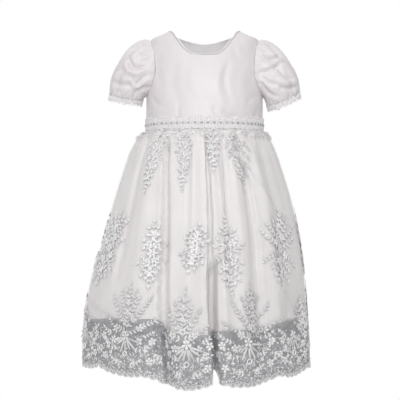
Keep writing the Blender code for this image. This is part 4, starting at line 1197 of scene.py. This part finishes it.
def liningRadius(degrees, z):
    # the least of the net's radius within 1 degree, less the inset
    around, height = degrees[..., None] + np.linspace(-1, 1, 5), z[..., None]
    near = skirtRadius(around, height) + foldDepth(around, height, foldTable)
    near = near + gatherDepth(around, height) + puffDepth(height)
    least = skirtValues["liningWall"] + form["seamGap"] + skirtValues["liningGap"]
    share = np.clip((form["waistZ"] - 0.0050 - z) / 0.008, 0, 1)
    soft = near.min(axis=-1) - least - (skirtValues["liningInset"] - least) * share
    return soft + 0.5 * foldDepth(degrees, z, creaseTable) * share


def makeLining(face, start, end):
    columns = foldColumns(start, end, skirtValues["liningColumns"])
    rows = skirtRows(skirtValues["liningFineRows"], skirtValues["liningRows"], form["liningHemZ"])
    degrees, level = np.meshgrid(columns, rows, indexing="ij")
    down = np.clip((form["gatherEnd"] - level) / (form["gatherEnd"] - form["liningHemZ"]), 0, 1)
    z = level + smoothCurve(liningHemTable, 1, wrap(degrees)) * down**3
    outer = skirtPlace(degrees, z, liningRadius(degrees, z))
    inner = outer - gridNormals(outer) * form["satinWall"]
    lining = makeWall("SatinSkirt" + face, outer, inner, lightenedSkirtSatin, skirtUv(degrees, z))
    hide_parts("satin_skirt_" + face.lower())


for face, middle in (("Front", 0), ("Back", 180)):
    reach = 90 - skirtValues["seamDegrees"]
    makeNet(face, middle - reach, middle + reach)
    makeLining(face, middle - reach, middle + reach)
print("skirts made")


# Embroidery on the net, laid out flat around anchors and then carried onto the cloth.
# A place is metres across and up from its anchor; an angle is 0 across and 90 degrees up.

embroideryValues = {
    # outline is the under-leaves' darker tone: a grey thread outline and painted shade
    "leaf": 0.0080, "leafWidth": 0.21, "leafHeight": 0.0008, "stem": 0.00040, "lift": 0.00015, "steps": 9,
    "outline": 0.58, "scatter": 700, "ring": 0.0031, "bar": 0.0175, "fillPitch": 0.0047, "edgeCord": 0.0011,
    # drooping sprays under the waist: degrees, level, height, width, lean, tone
    "upper": (
        (-43.0, -0.168, 0.098, 0.044, -0.06, 0.92), (-19.5, -0.167, 0.096, 0.036, 0.1, 0.84),
        (8.5, -0.167, 0.062, 0.03, 0.0, 0.94), (31.0, -0.167, 0.092, 0.052, 0.04, 0.8),
        (146.0, -0.168, 0.092, 0.044, 0.1, 0.82), (168.0, -0.168, 0.07, 0.034, -0.08, 0.86),
        (193.0, -0.168, 0.094, 0.044, 0.08, 0.72), (216.0, -0.168, 0.08, 0.038, -0.08, 0.84),
    ),
    # middle sprays: degrees, level of the middle, height, width, lean, tone
    "middle": (
        (-66.0, -0.356, 0.11, 0.09, -0.12, 0.94), (-31.0, -0.362, 0.098, 0.05, 0.08, 0.94),
        (-4.0, -0.35, 0.066, 0.044, -0.12, 0.9), (17.5, -0.362, 0.112, 0.064, 0.1, 0.9),
        (54.0, -0.356, 0.118, 0.098, -0.12, 0.97), (90.0, -0.352, 0.112, 0.088, 0.12, 0.84),
        (122.0, -0.356, 0.116, 0.09, -0.14, 0.8), (155.0, -0.35, 0.104, 0.08, 0.12, 0.86),
        (188.0, -0.356, 0.116, 0.09, -0.1, 0.8), (222.0, -0.352, 0.108, 0.084, 0.1, 0.86),
        (256.0, -0.354, 0.112, 0.086, -0.12, 0.82),
    ),
    # tree sprays rising from the border: degrees, height above the border, width, tone; the tree at 32
    # degrees is darker as painted shade of the skirt's shaded lower middle
    "trees": (
        (-76.0, 0.034, 0.04, 0.76), (-38.5, 0.08, 0.096, 0.74), (-7.0, 0.08, 0.07, 0.7),
        (32.0, 0.084, 0.09, 0.66), (68.5, 0.056, 0.05, 0.76), (90.0, 0.074, 0.066, 0.84),
        (122.0, 0.084, 0.084, 0.8), (155.0, 0.08, 0.08, 0.84), (188.0, 0.086, 0.084, 0.76),
        (222.0, 0.078, 0.078, 0.84), (256.0, 0.082, 0.076, 0.8),
    ),
    "borderTop": -0.4860, "rim": 0.0004, "rimHeight": 0.00035,
    # metres of cloth to one degree round on the border
    "degree": 0.00292,
}


def clothPerDegree(degrees, level):
    # metres of cloth to one degree round, on the smooth form without its folds
    ends = [skirtPlace(degrees + way, level, skirtRadius(degrees + way, level)) for way in (-0.5, 0.5)]
    return np.linalg.norm(ends[1] - ends[0], axis=-1)


def toCloth(anchor, x, y):
    # metres from the anchor as degrees round and level, kept between waist and hem
    x, y = np.broadcast_arrays(np.asarray(x, float), np.asarray(y, float))
    level = np.clip(anchor[1] + y, form["hemZ"] + 0.0005, form["waistZ"] - 0.006)
    return anchor[0] + x / clothPerDegree(np.full(x.shape, anchor[0]), level), level


def addRows(rows, *columns):
    # numbers and arrays side by side, one row for each element
    rows.append(np.stack(np.broadcast_arrays(*columns), -1).reshape(-1, len(columns)))


def addLeaves(work, anchor, x, y, angle, length, width, height, tone, kind):
    # one row per leaf: degrees, level, angle, length, half width, height, tone, kind
    # and under each a wider flat one in a darker tone: a grey thread outline that is also painted shade, the
    # leaf's shadow on the cloth
    rim, flat = embroideryValues["rim"], embroideryValues["rimHeight"]
    place = toCloth(anchor, x, y)
    addRows(work["leaves"], *place, angle, length, width, height, tone, kind)
    place = toCloth(anchor, x - rim * np.cos(angle), y - rim * np.sin(angle))
    shade = embroideryValues["outline"] * tone
    addRows(work["leaves"], *place, angle, length + 2 * rim, width + rim, flat, shade, kind)


def addStem(work, anchor, path, radius, tone):
    # path holds metres across and up from the anchor
    degrees, level = toCloth(anchor, path[:, 0], path[:, 1])
    work["stems"].append((degrees, level, radius, tone))


def addDots(work, anchor, x, y, radius, tone, kind):
    # kind 0 is a domed dot, 1 is a corded ring
    addRows(work["dots"], *toCloth(anchor, x, y), radius, tone, kind)


def stemPath(start, heading, length, bend):
    # a plane curve whose heading turns evenly by bend over its length
    steps = embroideryValues["steps"]
    angle = heading + bend * np.linspace(0, 1, steps)
    move = length / (steps - 1) * np.stack([np.cos(angle), np.sin(angle)], -1)
    return np.concatenate([[start], start + np.cumsum(move[:-1], 0)]), angle


def addFern(work, anchor, start, heading, length, bend, tone, leaf, random):
    # pairs of leaves along a bent stem, smaller towards the tip
    path, angle = stemPath(np.asarray(start, float), heading, length, bend)
    addStem(work, anchor, path, embroideryValues["stem"], tone * 0.75)
    size, high = embroideryValues["leaf"] * leaf, embroideryValues["leafHeight"]
    pairs = max(int(round(length / (size * 0.90))), 2)
    share = np.linspace(0.10, 0.90, pairs) + random.uniform(-0.02, 0.02, pairs)
    along = np.linspace(0, 1, len(path))
    x, y, turn = (np.interp(share, along, column) for column in (path[:, 0], path[:, 1], angle))
    long = size * (1.08 - 0.42 * share)
    for side in (-1, 1):
        tilt = turn + side * (0.86 - 0.22 * share) + random.uniform(-0.10, 0.10, pairs)
        shade = tone * random.uniform(0.80, 1.15, pairs)
        reach = long * random.uniform(0.85, 1.1, pairs)
        addLeaves(work, anchor, x, y, tilt, reach, long * embroideryValues["leafWidth"], high, shade, 0)
    addLeaves(work, anchor, *path[-1], angle[-1], size * 0.75, size * 0.15, high, tone, 0)


def addBlossom(work, anchor, x, y, radius, tone, random):
    # five round petals and a darker middle
    turn = random.uniform(0, math.pi) + np.arange(5) * 2 * math.pi / 5
    across, up = x + 0.22 * radius * np.cos(turn), y + 0.22 * radius * np.sin(turn)
    shade = tone * random.uniform(0.9, 1.1, 5)
    addLeaves(work, anchor, across, up, turn, radius, radius * 0.36, 0.0012, shade, 1)
    addDots(work, anchor, x, y, radius * 0.28, tone * 0.40, 0)


def addCurl(work, anchor, x, y, radius, heading, sweep, tone):
    # a short cord that turns by sweep
    path, _ = stemPath(np.array([x, y]), heading, radius * abs(sweep), sweep)
    addStem(work, anchor, path, 0.00055, tone)


def along(path, share):
    # the point at a share of the path
    steps = np.linspace(0, 1, len(path))
    return np.array([np.interp(share, steps, path[:, 0]), np.interp(share, steps, path[:, 1])])


def upperSpray(work, degrees, level, height, width, lean, tone, random):
    # a hanging stem with side ferns that shorten downwards and blossoms in its upper part
    anchor = (degrees, level)
    down = -math.pi / 2 + lean
    path, angle = stemPath(np.zeros(2), down, height * 0.72, -0.5 * lean)
    addStem(work, anchor, path, embroideryValues["stem"], tone * 0.8)
    addFern(work, anchor, path[-1], angle[-1], height * 0.26, 0.3 * lean, tone, 0.85, random)
    for k, share in enumerate((0.03, 0.24, 0.47, 0.70, 0.90)):
        for side in (-1, 1):
            reach = width * (0.56 - 0.26 * share) * random.uniform(0.85, 1.12)
            start = along(path, min(share + 0.08 * (side > 0), 1.0))
            heading = down + side * (0.95 - 0.35 * share)
            shade = tone * random.uniform(0.85, 1.08)
            addFern(work, anchor, start, heading, reach, -0.5 * side, shade, 0.80, random)
        if k < 4:
            x, y = along(path, share + 0.10)
            x += (1 if k % 2 else -1) * width * 0.16
            addBlossom(work, anchor, x, y, 0.0046 - 0.0004 * k, tone * 1.08, random)
    x, y = np.array([0.30, -0.30]) * width, np.array([-0.16, -0.34]) * height
    addDots(work, anchor, x, y, embroideryValues["ring"] * 0.7, tone, 1)


def middleSpray(work, degrees, level, height, width, lean, tone, random):
    # two stems, up and down, that bend away from each other, with long side ferns and blossoms between them
    anchor = (degrees, level)
    for way in (1, -1):
        heading = way * math.pi / 2 + lean
        path, angle = stemPath(np.zeros(2), heading, height * 0.30, 0.5 * lean)
        addStem(work, anchor, path, embroideryValues["stem"], tone * 0.8)
        addFern(work, anchor, path[-1], angle[-1], height * 0.23, -0.6 * lean, tone, 1.0, random)
        for share, spread, size in ((0.06, 1.3, 0.42), (0.34, 1.12, 0.4), (0.64, 0.95, 0.33),
                                    (0.96, 0.8, 0.24)):
            for side in (-1, 1):
                shade = tone * random.uniform(0.90, 1.10) * (0.88 if way < 0 and side < 0 else 1.0)
                start, turned = along(path, share), heading + side * spread
                reach = width * size * random.uniform(0.70, 1.22)
                addFern(work, anchor, start, turned, reach, -0.55 * side, shade, 0.98, random)
        for x, y, radius in ((0.10, 0.16, 0.0052), (-0.13, 0.10, 0.0044), (0.02, 0.30, 0.0040)):
            addBlossom(work, anchor, way * x * width, way * y * height, radius, tone * 1.10, random)
    addBlossom(work, anchor, 0.0, 0.0, 0.0050, tone * 1.12, random)
    x, y = np.array([0.26, -0.27, 0.12]) * width, np.array([0.03, -0.05, -0.12]) * height
    addDots(work, anchor, x, y, embroideryValues["ring"] * 0.8, tone, 1)


def treeSpray(work, degrees, height, width, tone, random):
    # like a fir: one upright and four pairs of side ferns, each steeper and shorter than the last
    anchor = (degrees, embroideryValues["borderTop"])
    up = math.pi / 2
    addFern(work, anchor, (0.0, 0.0), up, height - 0.006, random.uniform(-0.10, 0.10), tone, 1.05, random)
    for share, spread, reach in ((0.0, 1.3, 0.58), (0.1, 0.8, 0.6), (0.32, 0.66, 0.4), (0.54, 0.58, 0.24)):
        for side in (-1, 1):
            length = width * reach * random.uniform(0.88, 1.08)
            shade = tone * random.uniform(0.88, 1.06)
            start, heading = (0.0, height * share), up + side * spread
            addFern(work, anchor, start, heading, length, -0.35 * side, shade, 0.98, random)
    for x, y, size in ((-0.24, 0.05, 0.0048), (0.25, 0.08, 0.0046), (-0.05, 0.2, 0.0042),
                       (0.08, 0.34, 0.0038)):
        addBlossom(work, anchor, x * width, y * height, size, tone * 1.10, random)
    x, y = np.array([-0.15, 0.17, 0.33]) * width, np.array([0.20, 0.22, 0.10]) * height
    addDots(work, anchor, x, y, embroideryValues["ring"] * 0.8, tone, 1)


def waistScatter(work, random):
    # short stitches that carry the lace down over the first of the gathers
    count = embroideryValues["scatter"]
    degrees = random.uniform(-178, 178, count)
    level = -0.1622 - 0.0100 * random.uniform(0, 1, count) ** 1.6
    size = random.uniform(0.0026, 0.0046, count)
    turn = random.uniform(-math.pi, math.pi, count)
    tone = random.uniform(0.5, 1.0, count)
    addRows(work["leaves"], degrees, level, turn, size, size * 0.30, 0.0007, tone, 0.0)


def borderLobe(work, start, end, number, random):
    # a fan of corded bars under each tree, with rings, blossoms and sprigs to both sides
    anchor = ((start + end) / 2, embroideryValues["borderTop"])
    half = (end - start) / 2 * float(clothPerDegree(np.array(anchor[0]), np.array(-0.52)))
    count = 7 if number % 2 else 8
    turn = np.linspace(math.radians(-166), math.radians(-14), count) + random.uniform(-0.09, 0.09, count)
    reach = embroideryValues["bar"] * random.uniform(0.80, 1.25, count)
    begin = random.uniform(0.0045, 0.0075, count)
    x, y = begin * np.cos(turn), -0.008 + begin * np.sin(turn)
    addLeaves(work, anchor, x, y, turn, reach, 0.0016, 0.0010, random.uniform(0.40, 0.75, count), 2)
    addBlossom(work, anchor, 0.0, -0.006, 0.0062, 0.95, random)
    addBlossom(work, anchor, -0.014, -0.014, 0.0044, 0.9, random)
    addDots(work, anchor, np.array([0.0]), np.array([-0.034]), 0.0050, 1.0, 1)
    addDots(work, anchor, np.array([-0.0075, 0.0075]), np.array([-0.040, -0.040]), 0.0026, 0.95, 1)
    # blossoms and rings by turns: share of the half lobe and height; sprigs: the same, heading and length
    places = ((0.42, -0.014), (0.62, -0.022), (0.80, -0.012), (0.52, -0.036), (0.74, -0.044), (0.30, -0.047))
    sprigs = ((0.30, -0.026, -0.35, 0.018), (0.50, -0.006, 0.2, 0.020), (0.58, -0.030, 0.75, 0.016),
              (0.16, -0.052, 0.15, 0.020), (0.86, -0.030, -0.9, 0.016))
    for side in (-1, 1):
        for k, (x, y) in enumerate(places):
            if k % 2:
                addDots(work, anchor, side * x * half, y, embroideryValues["ring"], 0.95, 1)
                addDots(work, anchor, side * x * half, y, embroideryValues["ring"] * 0.35, 0.8, 0)
            else:
                addBlossom(work, anchor, side * x * half, y, 0.0050, 0.98, random)
        for x, y, heading, length in sprigs:
            turned = heading if side > 0 else math.pi - heading
            addFern(work, anchor, (side * x * half, y), turned, length, 0.5 * side, 0.92, 0.74, random)


def fillBorder(work, random):
    # small leaves, dots and curls on a jittered grid, fewer near the top and under the fans
    pitch = embroideryValues["fillPitch"]
    rows = np.arange(embroideryValues["borderTop"] + 0.002, form["hemZ"] + 0.003, -pitch)
    centres = (np.array(scallopEdges) + np.append(scallopEdges[1:], scallopEdges[0] + 360)) / 2
    for row in rows:
        step = pitch / embroideryValues["degree"]
        degrees = np.arange(-89.0, 269.0, step)
        degrees = degrees + random.uniform(-0.42, 0.42, len(degrees)) * step
        level = row + random.uniform(-0.42, 0.42, len(degrees)) * pitch
        deep = (embroideryValues["borderTop"] - level) / (embroideryValues["borderTop"] - form["hemZ"])
        near = np.min(np.abs(wrap(degrees[:, None] - centres[None])), axis=1) * embroideryValues["degree"]
        inFan = np.hypot(near, level - embroideryValues["borderTop"] + 0.004) < embroideryValues["bar"] * 1.30
        keep = random.uniform(0, 1, len(degrees)) < 0.45 + 0.60 * deep
        keep &= ~(inFan & (random.uniform(0, 1, len(degrees)) < 0.70))
        degrees, level = degrees[keep], np.clip(level[keep], form["hemZ"] + 0.001, None)
        kind = random.uniform(0, 1, len(degrees))
        tone = random.uniform(0.34, 0.88, len(degrees))
        turn = random.uniform(-math.pi, math.pi, len(degrees))
        leaf = kind < 0.62
        size = random.uniform(0.0034, 0.0056, len(degrees))
        leaves = (degrees[leaf], level[leaf], turn[leaf], size[leaf])
        addRows(work["leaves"], *leaves, size[leaf] * 0.24, 0.0009, tone[leaf], 0.0)
        dot = kind > 0.84
        addRows(work["dots"], degrees[dot], level[dot], size[dot] * 0.36, tone[dot], kind[dot] > 0.91)
        for k in np.nonzero(~leaf & ~dot)[0]:
            addCurl(work, (degrees[k], level[k]), 0.0, 0.0, 0.0019, turn[k], 3.8 if k % 2 else -3.8, tone[k])


def fillEdge(work, random):
    # short stitches across the hem between its two cords
    degrees = np.arange(-89.6, 269.6, 0.62)
    level = np.full(degrees.shape, form["hemZ"] + 0.0008)
    turn = math.pi / 2 + random.uniform(-0.25, 0.25, len(degrees))
    tone = 0.52 + 0.22 * np.cos(degrees * math.pi / 1.24)
    addRows(work["leaves"], degrees, level, turn, 0.0046, 0.00075, 0.0009, tone, 2.0)


def leafSolid(kind):
    # 0 pointed leaf, 1 round petal, 2 blunt bar: stations along it, half widths and heights, and a tone at
    # each point that is painted shade: darker sides, lighter ridge
    along, width, high = (
        ((0.0, 0.22, 0.52, 0.80, 1.0), (0, 0.80, 1.0, 0.60, 0), (0.15, 0.8, 1.0, 0.7, 0.1)),
        ((0.0, 0.25, 0.60, 0.86, 1.0), (0, 0.62, 1.0, 0.78, 0), (0.2, 0.7, 1.0, 0.8, 0.2)),
        ((0.0, 0.04, 0.50, 0.96, 1.0), (0, 0.85, 1.0, 0.85, 0), (0.3, 0.9, 1.0, 0.9, 0.3)))[kind]
    points = [[along[0], 0, high[0] * 0.5]]
    for k in (1, 2, 3):
        points += [[along[k], -width[k], 0.0], [along[k], 0.0, high[k]], [along[k], width[k], 0.0]]
    points.append([along[4], 0, high[4] * 0.5])
    faces = [[0, 2, 1], [0, 3, 2], [0, 1, 3], [10, 7, 8], [10, 8, 9], [10, 9, 7]]
    for a in (1, 4):
        b = a + 3
        faces += [[a, a + 1, b + 1], [a, b + 1, b], [a + 1, a + 2, b + 2], [a + 1, b + 2, b + 1]]
        faces += [[a, b, b + 2], [a, b + 2, a + 2]]
    # painted shade and highlight: the leaf's sides darker, its ridge lightest
    edge = np.array([0.85] + [0.62, 1.0, 0.62] * 3 + [0.85])
    return np.array(points, float), np.array(faces)[:, ::-1], edge


def dotSolid(kind):
    # 0 a dome with a flat foot, 1 a ring that slopes up to a crest and down inside; the tones are painted
    # shade: darker low down, lightest at the dome's top and the ring's crest
    count = 10
    angle = np.linspace(0, 2 * math.pi, count, endpoint=False)
    ring = np.stack([np.cos(angle), np.sin(angle), 0 * angle], -1)
    k, n = np.arange(count), (np.arange(count) + 1) % count
    if kind == 0:
        points = np.concatenate([ring, ring * 0.66 + (0, 0, 0.62), [[0, 0, 0.9], [0, 0, 0]]])
        top, foot = np.full(count, 2 * count), np.full(count, 2 * count + 1)
        rims = [[k, n, n + count], [k, n + count, k + count], [k + count, n + count, top], [n, k, foot]]
        faces = np.concatenate([np.stack(rim, -1) for rim in rims])
        return points, faces, np.array([0.5] * count + [1.0] * (count + 1) + [0.6])
    points = np.concatenate([ring, ring * 0.82 + (0, 0, 0.34), ring * 0.58])
    faces = []
    for a, b in ((0, count), (count, 2 * count), (2 * count, 0)):
        faces += [np.stack([k + a, n + a, n + b], -1), np.stack([k + a, n + b, k + b], -1)]
    return points, np.concatenate(faces), np.array([0.5] * count + [1.0] * count + [0.5] * count)


def clothFrame(degrees, level):
    # place, outward normal, and unit directions across and up the cloth
    place = netSurface(degrees, level, embroideryValues["lift"])
    across = unit(netSurface(degrees + 0.2, level) - netSurface(degrees - 0.2, level))
    up = netSurface(degrees, level + 0.0010) - netSurface(degrees, level - 0.0010)
    normal = unit(np.cross(across, up))
    return place, normal, across, unit(np.cross(normal, across))


def solidsFrom(work):
    # every leaf, dot and stem as parts: vertices, faces, tone and degrees round
    parts = []
    leaves, dots = np.concatenate(work["leaves"]), np.concatenate(work["dots"])
    for kind in (0, 1, 2):
        rows = leaves[leaves[:, 7] == kind]
        shape, faces, edge = leafSolid(kind)
        place, normal, across, up = clothFrame(rows[:, 0], rows[:, 1])
        along = np.cos(rows[:, 2:3]) * across + np.sin(rows[:, 2:3]) * up
        points, allFaces = placeShapes(shape, faces, place, along, normal, rows[:, 3:6])
        shade = (rows[:, 6:7] * edge).ravel()
        parts.append((points, allFaces, shade, np.repeat(rows[:, 0], len(shape))))
    for kind in (0, 1):
        rows = dots[dots[:, 4] == kind]
        shape, faces, edge = dotSolid(kind)
        place, normal, across, _ = clothFrame(rows[:, 0], rows[:, 1])
        points, allFaces = placeShapes(shape, faces, place, across, normal, np.repeat(rows[:, 2:3], 3, 1))
        shade = (rows[:, 3:4] * edge).ravel()
        parts.append((points, allFaces, shade, np.repeat(rows[:, 0], len(shape))))
    degrees = np.array([row[0] for row in work["stems"]])
    level = np.array([row[1] for row in work["stems"]])
    radius = np.array([row[2] for row in work["stems"]])[:, None, None, None]
    tone = np.array([row[3] for row in work["stems"]])
    place, normal, _, _ = clothFrame(degrees, level)
    ahead = unit(np.gradient(place, axis=1))
    side = unit(np.cross(ahead, normal))
    ring = np.stack([side, normal, -side, -0.2 * normal], 2) * radius
    points = place[:, :, None] + ring
    count, steps = degrees.shape
    index = np.arange(count * steps * 4).reshape(count, steps, 4)
    here, there = index[:, :-1], index[:, 1:]
    quads = np.stack([here, there, np.roll(there, -1, 2), np.roll(here, -1, 2)], -1).reshape(-1, 4)
    ends = splitQuads(index[:, 0]), splitQuads(index[:, -1])[:, ::-1]
    faces = np.concatenate([splitQuads(quads), *ends])[:, ::-1]
    # painted shade round each stem: lightest on top, darker at the sides and underneath
    shade = tone[:, None, None] * np.array([0.7, 1.0, 0.7, 0.6]) * np.ones((count, steps, 1))
    parts.append((points.reshape(-1, 3), faces, shade.ravel(), np.repeat(degrees.ravel(), 4)))
    return parts


def splitAndMake(name, parts):
    # front and back halves, so that each piece belongs to its own skirt half
    for face in ("Front", "Back"):
        chosen = []
        for points, faces, tone, degrees in parts:
            front = np.abs(wrap(degrees[faces].mean(axis=1))) <= 90
            some = faces[front if face == "Front" else ~front]
            used, flat = np.unique(some, return_inverse=True)
            chosen.append((points[used], flat.reshape(some.shape), tone[used]))
        points, faces, tone = joinParts(chosen)
        print(name + face, len(faces), "triangles")
        item = makeObject(name + face, points, faces, silverThread, tone=tone, sharpAngle=70)


def makeEmbroidery():
    # sprays first, then the border, from one row of random numbers
    random = np.random.default_rng(seedNumber)
    sprays = {"leaves": [], "stems": [], "dots": []}
    for row in embroideryValues["upper"]:
        upperSpray(sprays, *row, random)
    for row in embroideryValues["middle"]:
        middleSpray(sprays, *row, random)
    for row in embroideryValues["trees"]:
        treeSpray(sprays, *row, random)
    waistScatter(sprays, random)
    splitAndMake("Sprays", solidsFrom(sprays))
    border = {"leaves": [], "stems": [], "dots": []}
    ends = scallopEdges[1:] + (scallopEdges[0] + 360.0,)
    for number, (start, end) in enumerate(zip(scallopEdges, ends)):
        borderLobe(border, start, end, number, random)
    fillBorder(border, random)
    fillEdge(border, random)
    splitAndMake("Border", solidsFrom(border))


def makeHemCords():
    # the scalloped edge's cord and a finer one above it, each along one half of the skirt
    for face, start, end in (("Front", -89.8, 89.8), ("Back", 90.2, 269.8)):
        degrees = foldColumns(start, end, 1100)
        parts = []
        for above, radius, tone in ((0.0, embroideryValues["edgeCord"], 0.50), (0.0052, 0.0006, 0.45)):
            level = np.full(degrees.shape, form["hemZ"] + above)
            line = netSurface(degrees, level, 0.0002)
            line[:, 2] += edgeLift(degrees)
            parts.append(cordTube(line, radius, netNormal(degrees, level), tone, sides=5, closed=False))
        points, faces, tone = joinParts(parts)
        cord = makeObject("HemCords" + face, points, faces, silverThread, tone=tone)


makeEmbroidery()
makeHemCords()
print("embroidery made")


# Floor, light and camera

# lamps: place, target, size and power
stageValues = {
    "floorZ": -0.84, "floorRadius": 1.1, "floorSides": 96, "backdrop": 1.0, "front": 0.47,
    "lamps": {
        "Key": ((-0.20, -2.0, 0.85), (0.0, 0.0, -0.12), (2.0, 1.0), 17.0),
        "Front": ((0.10, -1.25, 0.30), (0.0, 0.0, -0.06), (0.9, 0.5), 3.0),
    },
    "cameraAt": (-0.00765, -1.7, -0.2773), "lens": 90.0,
}


def makeFloor():
    # a round sheet of pale paper well below the hem
    angle = np.linspace(0, 2 * math.pi, stageValues["floorSides"], endpoint=False)
    x, y = stageValues["floorRadius"] * np.cos(angle), stageValues["floorRadius"] * np.sin(angle)
    ring = np.stack([x, y, 0 * angle + stageValues["floorZ"]], -1)
    mesh = bpy.data.meshes.new("Floor")
    mesh.from_pydata(ring.tolist(), [], [tuple(range(len(ring)))])
    item = bpy.data.objects.new("Floor", mesh)
    bpy.context.scene.collection.objects.link(item)
    paper, tree, shader = startMaterial("FloorPaper")
    place = addNode(tree, "ShaderNodeTexCoord").outputs["Object"]
    grain = addNode(tree, "ShaderNodeTexNoise", {"Vector": place, "Scale": 60.0, "Detail": 4.0})
    colour = addRamp(tree, grain.outputs["Fac"], ((0.3, (0.80, 0.80, 0.80)), (0.7, (0.84, 0.84, 0.84))))
    setInputs(tree, shader, {"Base Color": colour, "Roughness": 0.9})
    mesh.materials.append(paper)


def makeWorld():
    # pure white behind the dress, softer in front of it, blended by direction
    world = bpy.data.worlds.new("Studio")
    world.use_nodes = True
    tree = world.node_tree
    background = tree.nodes["Background"]
    way = addNode(tree, "ShaderNodeTexCoord").outputs["Generated"]
    parts = addNode(tree, "ShaderNodeSeparateXYZ", {"Vector": way})

    def share(axis, start, end, low, high):
        # low at start and high at end, straight between them
        ends = {"From Min": start, "From Max": end, "To Min": low, "To Max": high}
        return addNode(tree, "ShaderNodeMapRange", {"Value": parts.outputs[axis], **ends}).outputs[0]

    behind = share("Y", 0.55, 0.85, 0.0, 1.0)
    side = share("X", 0.60, 1.0, 1.0, 0.65)
    high = share("Z", -1.0, 1.0, 0.48, 1.50)
    both = addMath(tree, "MULTIPLY", side, high)
    front = addMath(tree, "MULTIPLY", both, stageValues["front"])
    mix = addNode(tree, "ShaderNodeMix", {"Factor": behind, "A": front, "B": stageValues["backdrop"]},
                  data_type="FLOAT")
    setInputs(tree, background, {"Strength": mix.outputs["Result"], "Color": (1.0, 1.0, 1.0, 1.0)})
    bpy.context.scene.world = world


def makeLight(name, place, target, size, power):
    # a white lamp turned towards its target
    lamp = bpy.data.lights.new(name, "AREA")
    lamp.shape = "RECTANGLE"
    lamp.size, lamp.size_y = size
    lamp.energy = power
    item = bpy.data.objects.new(name, lamp)
    item.location = place
    x, y, z = np.array(target) - np.array(place)
    item.rotation_euler = (math.atan2(math.hypot(x, y), -z), 0.0, math.atan2(y, x) - math.pi / 2)
    bpy.context.scene.collection.objects.link(item)


def makeCamera():
    lens = bpy.data.cameras.new("Camera")
    lens.lens = stageValues["lens"]
    lens.sensor_width = 36.0
    item = bpy.data.objects.new("Camera", lens)
    item.location = stageValues["cameraAt"]
    item.rotation_euler = (math.radians(90), 0.0, 0.0)
    bpy.context.scene.collection.objects.link(item)
    bpy.context.scene.camera = item


makeFloor()
makeWorld()
for name, row in stageValues["lamps"].items():
    makeLight(name, *row)
makeCamera()
scene = bpy.context.scene
scene.view_settings.view_transform = "Standard"
scene.view_settings.look = "None"
print("stage ready")
